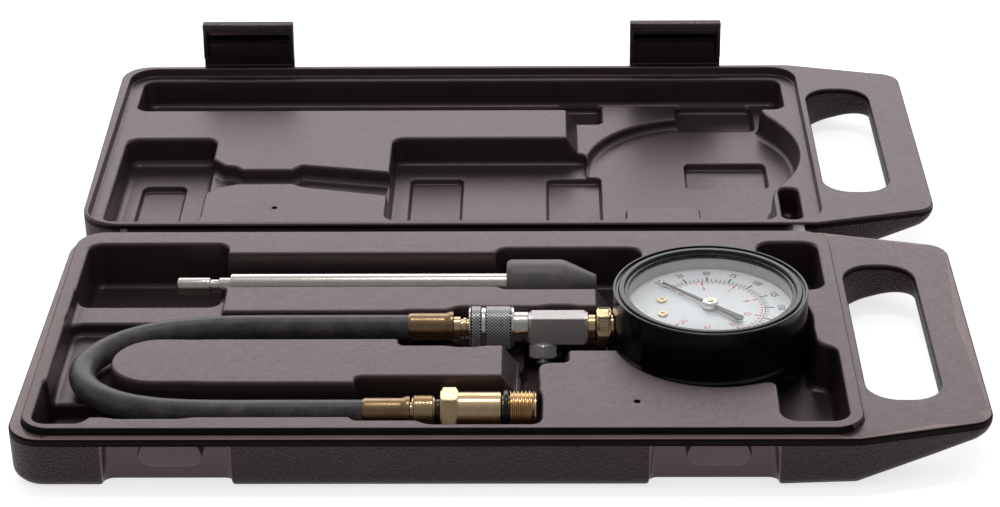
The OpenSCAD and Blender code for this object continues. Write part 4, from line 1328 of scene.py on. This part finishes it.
def bar(name: str, profile: Sequence[Point], half_width: float, place: Matrix, finish: Finish,
        bevel: float, bow: float = 0.0, steps: int = 14) -> Piece:
    """Extrudes a profile sideways, its front edge bowed forward in the middle.

    Args:
        name: the piece's name.
        profile: its corners as (depth, height), the front ones with the lowest depth.
        half_width: half of the bar's width.
        place: matrix from millimetres to the row frame.
        finish: its finish.
        bevel: size of the rounded edges.
        bow: how much further forward the middle lies than the ends.
        steps: segments across the width.

    Returns:
        The new object.
    """
    front, back = min(y for y, _ in profile), max(y for y, _ in profile)
    work = bmesh.new()
    rings = []
    for k in range(steps + 1):
        across = 2 * k / steps - 1
        lag = bow * across ** 2 / (back - front)
        rings.append([work.verts.new((half_width * across, y + lag * (back - y), z)) for y, z in profile])
    count = len(profile)
    for low, high in zip(rings, rings[1:]):
        for k in range(count):
            work.faces.new([low[k], low[(k + 1) % count], high[(k + 1) % count], high[k]])
    work.faces.new(rings[0])
    work.faces.new(rings[-1][::-1])
    bmesh.ops.recalc_face_normals(work, faces=work.faces)
    sharp = [edge for edge in work.edges if edge.calc_face_angle(0.0) > 0.3]
    bmesh.ops.bevel(work, geom=sharp, offset=bevel, segments=3, profile=0.5, affect="EDGES")
    return from_work(name, work, finish, 40.0, place)


@dataclass
class Latch:
    """A plastic latch: plate, side walls, hook and a grained end lip with a smooth edge."""

    name: str
    u: float
    width: float = 44.5
    length: float = 23.0
    lean: float = 2.0
    hinge_v: float = 184.2
    hinge_z: float = -0.8

    def build(self) -> None:
        """Makes the latch as it hangs open on the lid."""
        place = (Matrix.Translation(row_point(Half.LID, self.u, self.hinge_v, self.hinge_z))
                 @ Matrix.Rotation(math.radians(-self.lean), 4, "X") @ Matrix.Scale(MM, 4))
        w, top = self.width / 2, self.length
        lip = ((-4.5, top - 3.2), (1.2, top - 3.2), (1.2, top), (-4.5, top))
        edge = ((-4.6, top - 3.9), (-3.4, top - 3.9), (-3.4, top - 3.1), (-4.6, top - 3.3))
        hook = ((-5.0, 13.9), (-1.0, 13.9), (-1.0, 16.6), (-4.9, 14.7))
        parts = [
            block("plate", (-w, -1.0, -0.8), (w, 1.3, top - 0.6), 0.5, place, Finish.LATCH_DARK),
            bar("lip", lip, w, place, Finish.LATCH_GRAIN, 0.5, 0.5),
            bar("lip_edge", edge, w - 0.4, place, Finish.INSIDE, 0.2, 0.5),
            # the hook wears near-black painted shade
            bar("hook", hook, w - 2.4, place, Finish.PAINTED_SHADE, 0.25),
            block("hinge_bead", (-w + 0.6, -1.2, -0.7), (w - 0.6, 0.4, 1.4), 0.5, place, Finish.INSIDE),
        ]
        for side in (-1, 1):
            middle = side * (w - 1.0)
            low, high = (middle - 1.0, -3.4, 4.9), (middle + 1.0, 1.2, top - 0.6)
            parts.append(block("wall", low, high, 0.5, place, Finish.INSIDE))
        seat(joined(f"{self.name}_shell", parts), self.name, self.name)


@dataclass(frozen=True)
class Scale:
    """One printed scale of the dial, from 0 at the lower left over 270 degrees."""

    name: str
    ink: Finish
    count: int
    minor: int
    step: int
    inner: float
    minor_reach: float
    major_reach: float
    number_r: float
    number_size: float
    arc_r: float
    start: float = 135.0
    sweep: float = 270.0
    arc_parts: int = 180

    def angle(self, share: float) -> float:
        """The angle at a share of the scale, in radians."""
        return math.radians(self.start - self.sweep * share)

    def quads(self, z: float) -> list[list[Vector]]:
        """The corners of every tick and of the arc's parts, each in turn seen from above."""
        found: list[list[Vector]] = []
        total = self.count * self.minor
        for k in range(total + 1):
            major = k % self.minor == 0
            angle, half = self.angle(k / total), (0.8 if major else 0.4) / 2
            r0, r1 = sorted((self.inner, self.major_reach if major else self.minor_reach))
            side = round_point(half, angle + math.pi / 2)
            low, high = round_point(r0, angle, z), round_point(r1, angle, z)
            found.append([low + side, low - side, high - side, high + side])
        for k in range(self.arc_parts):
            after, here = self.angle((k + 1) / self.arc_parts), self.angle(k / self.arc_parts)
            low, high = self.arc_r - 0.13, self.arc_r + 0.13
            corners = ((low, after), (high, after), (high, here), (low, here))
            found.append([round_point(r, t, z) for r, t in corners])
        return found


SCALES = (
    Scale("outer_scale", Finish.BLACK_INK, 12, 5, 25, 22.3, 24.0, 25.8, 28.6, 4.0, 22.2),
    Scale("inner_scale", Finish.RED_INK, 7, 6, 3, 21.3, 20.0, 18.6, 15.6, 3.8, 21.2),
)


@dataclass
class Gauge:
    """The dial gauge in its rubber boot."""

    boot_r: float = 39.7
    boot_low: float = -15.3
    boot_top: float = 17.9
    dial_z: float = 8.8
    dial_r: float = 34.5
    middle_u: float = 274.5

    def place(self, x: float = 0.0, y: float = 0.0) -> Matrix:
        """Places gauge millimetres, shifted by x and y, in the row frame."""
        middle = Matrix.Translation(row_point(Half.BASE, self.middle_u, *Axis.TESTER.value))
        return middle @ Matrix.Scale(MM, 4) @ Matrix.Translation((x, y, 0))

    def shell(self) -> None:
        """The boot, the bezel ring, the spacer, the dial and the glass."""
        at, r, top = self.place(), self.boot_r, self.boot_top
        boot = [(self.boot_low, 0), (self.boot_low, r, 3), (-5.2, r, 0.4), (-3.9, r - 0.9, 0.8),
                (-2.7, r - 0.9, 0.8), (-1.4, r, 0.4), (top - 0.1, r, 0.75), (top, r - 0.6, 0.4),
                (top, r - 1, 0.3), (top - 1.2, r - 1.2, 0.3), (top - 1.2, r - 2.2, 0.3),
                (top - 0.1, r - 2.5, 0.4), (top - 0.1, 35.2, 0.5), (top - 1.6, 34.5, 0.3), (12, 34.4)]
        bezel = [(13.5, 35.4), (16.6, 35.4, 0.3), (16.6, 33.5, 0.4), (15.9, 33.4, 0.3), (13.6, 33.5)]
        spacer = [(8.95, 34.4), (14.1, 34.4), (14.1, 33.3, 0.3), (8.95, 33.3)]
        dial = [(8.2, 0), (8.2, self.dial_r), (self.dial_z, self.dial_r, 0.1), (self.dial_z, 0)]
        pane = [(14.2, 0), (14.2, 34.4, 0.2), (16, 34.4, 0.2), (16, 0)]
        seat(turned("gauge_boot_shell", boot, at, Finish.BOOT, 128), "gauge_boot")
        seat(turned("bezel", bezel, at, Finish.BLACK_RING, 128, closed=True), "bezel_ring")
        seat(turned("dial_ring", spacer, at, Finish.CARD, 128, closed=True), "dial_spacer")
        seat(turned("dial_face", dial, at, Finish.DIAL, 96), "dial_plate")
        seat(turned("glass", pane, at, Finish.GLASS, 96), "lens")

    def print_scale(self, scale: Scale) -> None:
        """Prints one scale: ticks, arc and plain numbers."""
        z = self.dial_z + 0.03
        quads = scale.quads(z)
        mesh = bpy.data.meshes.new(scale.name)
        mesh.from_pydata([self.place() @ corner for quad in quads for corner in quad], [],
                         [[4 * i, 4 * i + 1, 4 * i + 2, 4 * i + 3] for i in range(len(quads))])
        pieces = [add_object(scale.name, mesh, [scale.ink])]
        for k in range(scale.count + 1):
            pieces.append(self._number(str(k * scale.step), scale.angle(k / scale.count), scale, z))
        seat(joined(scale.name, pieces))

    def _number(self, digits: str, angle: float, scale: Scale, z: float) -> Piece:
        """One number, standing on the dial's radius."""
        curve = bpy.data.curves.new("digits", "FONT")
        curve.body = digits
        curve.size = scale.number_size
        curve.offset = 0.09
        curve.align_x = "CENTER"
        curve.align_y = "CENTER"
        holder = bpy.data.objects.new("digits", curve)
        bpy.context.scene.collection.objects.link(holder)
        bpy.context.view_layer.update()
        mesh = bpy.data.meshes.new_from_object(holder.evaluated_get(bpy.context.evaluated_depsgraph_get()))
        bpy.data.objects.remove(holder)
        spot = Matrix.Translation(round_point(scale.number_r, angle, z))
        narrow = Matrix.Diagonal((0.74, 1.0, 1.0, 1.0))
        mesh.transform(self.place() @ spot @ Matrix.Rotation(angle - math.pi / 2, 4, "Z") @ narrow)
        mesh.materials.clear()
        return add_object("digits", mesh, [scale.ink])

    def fixings(self) -> None:
        """The two dial screws and the pin that the pointer rests on."""
        screw = [(2.8, 0), (2.8, 1), (8.85, 1), (8.85, 2.1, 0.15), (9.35, 2.1, 0.2), (9.62, 1.5, 0.3),
                 (9.62, 0.9, 0.1), (9.2, 0.8, 0.1), (9.2, 0)]
        parts = [turned("screw", screw, self.place(-19.3, y), Finish.BRASS, 32) for y in (-5.7, 5.7)]
        seat(joined("dial_screw_pair", parts), "dial_screws")
        pin_r, gap = 25.5, 1.5
        spot = round_point(pin_r, SCALES[0].angle(0.0) + math.asin(gap / pin_r))
        pin = [(7.3, 0), (7.3, 0.6), (11.5, 0.6, 0.3), (11.5, 0)]
        rest = turned("rest_pin", pin, self.place(spot.x, spot.y), Finish.CHROME, 24)
        seat(rest, "stop_pin")

    def needle(self) -> None:
        """The pointer with its balanced tail, hub and slotted cap."""
        at = self.place() @ Matrix.Rotation(SCALES[0].angle(0.0), 4, "Z")
        tail_u, tail_r, open_half = -15.6, 1.8, 0.63
        rim = [(0, 0.8), (26.5, 0.45), (28.5, 0.0), (26.5, -0.45), (0, -0.8), (-14.2, -1.1)]
        rim += [(tail_u + tail_r * math.cos(a), tail_r * math.sin(a))
                for a in np.linspace(-open_half, -2 * math.pi + open_half, 20)]
        work = extruded([Vector((x, y, 10.0)) for x, y in [*rim, (-14.2, 1.1)]], (0, 0, 0.55))
        hub = [(9.6, 0), (9.6, 3.4, 0.3), (11.2, 3.4, 0.5), (11.9, 2.7, 0.4), (12, 0)]
        parts = [
            from_work("needle_blade", work, Finish.BLACK_INK, 30.0, at),
            turned("needle_hub", hub, at, Finish.CHROME, 48),
            turned("needle_cap", [(11.8, 0), (11.8, 1.5), (12.3, 1.5, 0.2), (12.3, 0)], at, Finish.BRASS, 32),
            block("needle_slot", (-1.5, -0.2, 12.2), (1.5, 0.2, 12.36), 0.05, at, Finish.BLACK_INK, 1),
        ]
        seat(joined("needle", parts), "pointer", "needle")

    def stem(self) -> None:
        """The brass stem with its hexagon, its collar and the plain neck that enters the valve block."""
        at = Axis.TESTER.at(228.2)
        hexagon = [(0, 0), (0, 7.25, 0.2), (1, 8.37, 0.3), (5, 8.37, 0.3), (6, 7.25, 0.2), (6, 0)]
        neck = [(5.5, 0), (5.5, 5.3, 0.2), (17, 5.3, 0.2), (17, 0)]
        collar = [(-3.4, 0), (-3.4, 5.3, 0.4), (-0.6, 5.3, 0.4), (0.2, 4.7), (0.2, 0)]
        seat(turned("stem_hexagon", hexagon, at, Finish.BRASS, flats=Flats(6, 14.5)))
        seat(turned("stem_neck", neck, at, Finish.BRASS, 48))
        seat(turned("stem_collar", collar, at, Finish.BRASS, 48))

    def build(self) -> None:
        """Makes the whole gauge."""
        self.shell()
        for scale in SCALES:
            self.print_scale(scale)
        self.fixings()
        self.needle()
        self.stem()


@dataclass
class ReleaseValve:
    """The square block with its release valve."""

    turn: float = -20.0
    lean: float = -9.0
    side: float = 11.3
    length: float = 24.3

    def build(self) -> None:
        """Makes the block, the nut and the button."""
        foot = Axis.TESTER.at(200.3)
        end, full = self.side * 0.58, self.side * 0.72
        body = [(0, 0), (0, end, 0.3), (1.7, full, 0.4), (self.length - 1.7, full, 0.4),
                (self.length, end, 0.3), (self.length, 0)]
        body_at = foot @ Matrix.Rotation(math.radians(self.lean), 4, "Z")
        shell = turned("valve_body", body, body_at, Finish.MATT_NICKEL, flats=Flats(4, self.side))
        seat(shell, "valve_block")
        valve_at = (foot @ Matrix.Rotation(math.radians(self.turn), 4, "Z") @ Matrix.Translation((0, 0, 6))
                    @ Matrix.Rotation(math.pi / 2, 4, "Y"))
        nut = [(1.4, 0), (1.4, 3), (6.45, 3), (6.45, 5.6, 0.3), (7.3, 6.47, 0.3), (11.4, 6.47, 0.3),
               (12.25, 5.6, 0.3), (12.25, 2.75, 0.2), (7.45, 2.75), (7.45, 1.95), (1.6, 1.95)]
        hexagon = turned("valve_hexagon", nut, valve_at, Finish.KNURLED_CHROME, flats=Flats(6, 11.2))
        seat(hexagon, "valve_nut")
        button = [(2.7, 0), (2.7, 1.8), (11.7, 1.8), (11.7, 2.6), (13.45, 2.6), (13.45, 3.9, 0.3),
                  (14.9, 3.9, 0.5), (14.9, 0)]
        knob = turned("valve_button", button, valve_at, Finish.CHROME, 40)
        seat(knob, "release_button", "button")


@dataclass
class Coupler:
    """The quick coupler: body, knurled sleeve and the hose's plug."""

    foot_u: float = 176.0
    knurl_r: float = 8.8

    def build(self) -> None:
        """Makes the coupler's visible pieces."""
        at = Axis.TESTER.at(self.foot_u)
        tube = [(0, 7.75, 0.2), (0, 8.3, 0.3), (0.6, 8.7, 0.2), (0.9, 8.2), (5.3, 8.2), (5.6, 8.35, 0.1),
                (6.4, 8.35, 0.1), (6.7, 8.2), (17.3, 8.2), (17.6, 8.75, 0.2), (18.5, 8.3, 0.2),
                (18.5, 8.05, 0.1), (6.3, 8.05), (6.2, 6.6), (2.7, 6.6), (2.6, 7.75)]
        sleeve = [turned("sleeve_tube", tube, at, Finish.CHROME, 96, closed=True)]
        for name, span in (("sleeve_knurl_a", (0.9, 5.2)), ("sleeve_knurl_b", (6.9, 17.2))):
            # the sleeve's knurl grooves wear near-black painted shade
            band = knurled(name, at, span, self.knurl_r, 0.5, 40, Finish.KNURLED_CHROME, Finish.PAINTED_SHADE)
            sleeve.append(band)
        seat(joined("coupler_sleeve_shell", sleeve), "coupler_sleeve", "sleeve")
        body = [(1, 3.7), (1, 5.9, 0.2), (3, 6.5, 0.3), (15.2, 6.5), (15.2, 7.9, 0.2), (18.2, 7.9, 0.2),
                (18.2, 6.5), (24.2, 6.5, 0.3), (24.2, 1.6), (5, 1.6), (5, 3.65)]
        seat(turned("coupler_tube", body, at, Finish.NICKEL, 64, closed=True), "coupler_body")
        nipple = [(-6.1, 0), (-6.1, 4.6, 0.3), (-3.6, 4.6, 0.4), (-3.4, 3.6, 0.2), (-2.2, 3.6, 0.2),
                  (-2, 4.2, 0.3), (-1.2, 4.2, 0.3), (-1, 3.6, 0.2), (4.8, 3.55), (4.8, 0)]
        seat(turned("plug_nipple", nipple, at, Finish.BRASS, 48))


HOSE_POINTS = (
    (-0.0388, -0.090401, 0.0203), (-0.06, -0.090401, 0.0203), (-0.08, -0.090401, 0.0203),
    (-0.1, -0.090401, 0.0203), (-0.116, -0.090801, 0.0202), (-0.128, -0.092001, 0.02),
    (-0.138, -0.094001, 0.0198), (-0.147, -0.097501, 0.0197), (-0.155, -0.102501, 0.0195),
    (-0.1615, -0.109001, 0.0193), (-0.166, -0.116501, 0.0192), (-0.168, -0.124001, 0.0191),
    (-0.167, -0.132001, 0.019), (-0.163, -0.140001, 0.0189), (-0.1565, -0.146501, 0.0188),
    (-0.148, -0.151501, 0.0187), (-0.138, -0.154801, 0.0186), (-0.126, -0.156601, 0.0185),
    (-0.11, -0.157201, 0.0184), (-0.092, -0.157201, 0.0184), (-0.074, -0.157201, 0.0184),
    (-0.0541, -0.157201, 0.0184),
)


@dataclass
class HoseLine:
    """The rubber hose with its ferrules, swivel collar and spark plug adapter."""

    diameter: float = 0.0106
    run_in: float = 0.004

    def _ferrule(self, name: str, at: Matrix) -> Piece:
        """A crimped brass sleeve, flared at its outer end, in brass darkened as painted shade."""
        return turned(name, [(0, 5.1), (0, 5.7, 0.25), (0.8, 6, 0.4), (15.4, 6, 0.8), (16.9, 6.65, 0.5),
                             (18.55, 6.65, 0.4), (18.55, 5.6, 0.3), (18.3, 0)], at, Finish.FERRULE_PAINTED_SHADE, 64)

    def build(self) -> None:
        points = [Vector(q) for q in HOSE_POINTS]
        ahead = Vector((self.run_in, 0, 0))
        line = smooth_line([points[0] + ahead, *points[1:-1], points[-1] + ahead], 6)
        line[0], line[-1] = points[0].copy(), points[-1].copy()
        hose = seat(swept("hose_tube", line, self.diameter / 2, Finish.HOSE), "hose")
        seat(self._ferrule("upper_ferrule_shell", Axis.TESTER.at(151.2)), "upper_ferrule")
        far = self._far_end()
        length = sum((b - a).length for a, b in zip(line, line[1:]))
        LOG.info("hose: %.3f m long", length)

    def _far_end(self) -> list[Piece]:
        """The pieces on the hose's free end."""
        collar_at, at = Axis.ADAPTER.at(155.1), Axis.ADAPTER.at(166.3)
        core = [(-0.5, 0), (-0.5, 4.5), (0, 4.5), (0, 6.1, 0.2), (0.7, 6.5, 0.2), (8.3, 6.5, 0.2),
                (9, 6.1, 0.2), (9, 3.8), (16, 3.75), (16, 0)]
        hexagon = [(0, 3.9), (0, 8.7, 0.25), (1.1, 10.16, 0.3), (5.9, 10.16, 0.3), (7, 8.8, 0.25), (7, 3.9)]
        barrel = [(6.5, 5), (6.5, 8.3), (23.6, 8.3, 0.5), (24, 6.9, 0.3), (27, 6.9, 0.3), (27.1, 8, 0.2),
                  (27.4, 8.06), (37, 8), (37.3, 7.2, 0.3), (37.3, 3.4, 0.3), (30, 3.2), (24, 2.6), (7, 2.6)]
        washer = [(0, 3.9), (0, 5.6, 0.5), (2, 5.6, 0.5), (2, 3.9)]
        ring = [(24.4, 7), (24.4, 9, 1.1), (26.6, 9, 1.1), (26.6, 7)]
        valve = [(21, 0), (21, 2.5), (27.5, 2.5), (27.5, 3.1, 0.2), (32.5, 3.1, 0.3), (32.5, 2.2, 0.2),
                 (34.1, 1.2, 0.2), (34.1, 0.8, 0.1), (35.6, 0.8, 0.3), (35.6, 0)]
        ferrule = self._ferrule("lower_ferrule_shell", Axis.ADAPTER.at(135.9))
        collar = joined("swivel_collar_shell", [
            turned("collar_core", core, collar_at, Finish.BRASS, 64),
            # the collar's knurl grooves are painted darker as painted shade
            knurled("collar_knurl", collar_at, (0.6, 8.4), 6.9, 0.4, 30, Finish.BRASS, Finish.PAINTED_SHADE_GROOVE)])
        seal = turned("sealing_washer", washer, Axis.ADAPTER.at(164.2), Finish.BLACK_RING, 48, closed=True)
        adapter = joined("plug_adapter", [
            turned("adapter_hexagon", hexagon, at, Finish.BRASS, flats=Flats(6, 17.6)),
            turned("adapter_barrel", barrel, at, Finish.BRASS),
            threaded("adapter_thread", at, (27.2, 37.2), 8.98, 0.92, 1.5, Finish.BRASS)])
        o_ring = turned("adapter_ring", ring, at, Finish.BLACK_RING, 64, closed=True)
        check = turned("valve_core", valve, at, Finish.BRASS, 40)
        return [
            seat(ferrule, "lower_ferrule"),
            seat(collar, "swivel_collar"),
            seat(seal, "seal_washer"),
            seat(adapter, "adapter"),
            seat(o_ring, "adapter_oring"),
            seat(check, "check_valve"),
        ]


@dataclass
class Probe:
    """The long nickel probe with its push-in rubber cone."""

    foot_u: float = 51.3
    cone_u: float = 191.0

    def build(self) -> None:
        """Makes the tube and the cone."""
        tube = [(0, 2), (0, 3.1, 0.3), (0.6, 3.6, 0.3), (13.8, 3.6, 0.3), (14.2, 2.8, 0.3), (17.5, 2.8, 0.3),
                (17.9, 3.6, 0.3), (22.6, 3.6, 0.2), (22.7, 5, 0.3), (23.2, 5.2, 0.3), (169.6, 5.2),
                (169.6, 2)]
        cone = [(0, 5.3), (0, 9.8, 0.4), (1.6, 11, 0.8), (24, 11, 2), (38, 4.5, 0.5), (38, 2, 0.3), (31.5, 2),
                (31.4, 5.25)]
        shaft = turned("probe_shaft", tube, Axis.PROBE.at(self.foot_u), Finish.NICKEL, 56, closed=True)
        seat(shaft, "probe_tube")
        tip = turned("probe_tip", cone, Axis.PROBE.at(self.cone_u), Finish.CONE, 64, closed=True)
        seat(tip, "probe_cone")


@dataclass(frozen=True)
class Studio:
    """The white table, the soft light from above and behind, and the camera."""

    eye: Triple = (0.01552, -1.122534, 0.57402)
    yaw: float = -0.919
    pitch: float = 26.724
    roll: float = -0.548
    lens: float = 102.778
    table_glow: float = 0.72
    world_strength: float = 0.54

    def camera(self) -> None:
        """Sets the camera that was fitted to the photograph."""
        yaw, pitch, roll = (math.radians(angle) for angle in (self.yaw, self.pitch, self.roll))
        level = math.cos(pitch)
        ahead = Vector((math.sin(yaw) * level, math.cos(yaw) * level, -math.sin(pitch)))
        right = Vector((math.cos(yaw), -math.sin(yaw), 0.0))
        up = right.cross(ahead)
        side = right * math.cos(roll) + up * math.sin(roll)
        over = up * math.cos(roll) - right * math.sin(roll)
        data = bpy.data.cameras.new("camera")
        data.sensor_width = 36.0
        data.lens = self.lens
        data.clip_start, data.clip_end = 0.05, 20.0
        camera = bpy.data.objects.new("camera", data)
        turn = Matrix((side, over, -ahead)).transposed().to_4x4()
        camera.matrix_world = Matrix.Translation(self.eye) @ turn
        bpy.context.scene.collection.objects.link(camera)
        bpy.context.scene.camera = camera

    def table(self) -> None:
        """The pale table top, white to the camera and plain to the object's light."""
        mesh = bpy.data.meshes.new("table_top")
        mesh.from_pydata([(-6, -6, 0), (6, -6, 0), (6, 8, 0), (-6, 8, 0)], [], [[0, 1, 2, 3]])
        sketch = Sketch("table_white")
        white = (1.0, 1.0, 1.0, 1.0)
        sketch.put(Base_Color=(0.93, 0.93, 0.93, 1.0), Roughness=0.85)
        sketch.put(Specular_IOR_Level=0.1, Emission_Color=white)
        rays = sketch.add("ShaderNodeLightPath").outputs
        mirrored = sketch.worked("MAXIMUM", rays["Is Glossy Ray"], rays["Is Transmission Ray"])
        seen = sketch.worked("MAXIMUM", rays["Is Camera Ray"], mirrored)
        glow = sketch.worked("MULTIPLY", seen, self.table_glow)
        sketch.link(glow, sketch.shader.inputs["Emission Strength"])
        mesh.materials.append(sketch.material)
        add_object("table_top", mesh, [])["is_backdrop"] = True

    def lamp(self, name: str, spot: Vector, aim: Vector, size: Point, power: float) -> None:
        """Hangs one soft box.

        Args:
            name: its name.
            spot: where it hangs.
            aim: the point it looks at.
            size: width and height in metres.
            power: watts.
        """
        data = bpy.data.lights.new(name, "AREA")
        data.shape = "RECTANGLE"
        data.size, data.size_y = size
        data.energy = power
        lamp = bpy.data.objects.new(name, data)
        turn = (aim - spot).to_track_quat("-Z", "Y").to_matrix().to_4x4()
        lamp.matrix_world = Matrix.Translation(spot) @ turn
        bpy.context.scene.collection.objects.link(lamp)
        lamp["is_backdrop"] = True

    def sky(self) -> None:
        """The soft surround: pale behind and above the case, dimmer towards the camera."""
        world = bpy.data.worlds.new("studio")
        bpy.context.scene.world = world
        world.use_nodes = True
        graph = Graph(world.node_tree)
        back = graph.tree.nodes["Background"]
        aim = graph.add("ShaderNodeVectorMath", operation="DOT_PRODUCT")
        aim.inputs[1].default_value = (0.0, 0.82, 0.57)
        graph.link(graph.add("ShaderNodeTexCoord").outputs["Generated"], aim.inputs[0])
        ramp = graph.add("ShaderNodeValToRGB")
        graph.link(aim.outputs["Value"], ramp.inputs[0])
        low, high = ramp.color_ramp.elements
        low.position, high.position = 0.05, 0.7
        low.color, high.color = (0.42, 0.42, 0.43, 1.0), (1.0, 1.0, 1.0, 1.0)
        graph.link(ramp.outputs[0], back.inputs[0])
        back.inputs[1].default_value = self.world_strength

    def build(self) -> None:
        """Sets the stage."""
        self.table()
        self.lamp("back_box", Vector((-0.1, 1.3, 0.75)), Vector((0, 0.05, 0)), (2.2, 0.8), 10.5)
        self.lamp("top_box", Vector((0.0, 0.15, 1.4)), Vector((0, 0, 0)), (0.26, 0.12), 2.0)
        self.sky()
        bpy.context.scene.view_settings.view_transform = "Standard"


def save_bounds(name: str, record: dict[str, object]) -> None:
    """Notes the scene's overall box under a name."""
    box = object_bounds()
    record[name] = [list(map(float, corner)) for corner in box]


def main() -> None:
    """Builds the whole scene."""
    logging.basicConfig(level=logging.INFO, format="%(name)s %(message)s")
    record: dict[str, object] = {}
    save_bounds("loaded", record)
    studio = Studio()
    studio.camera()
    for part in (HoseLine(), MouldedCase(CaseSizes()), Gauge(), ReleaseValve(), Coupler(), Probe(), studio):
        part.build()
    dress_hidden()
    save_bounds("finished", record)


if __name__ == "__main__":
    main()
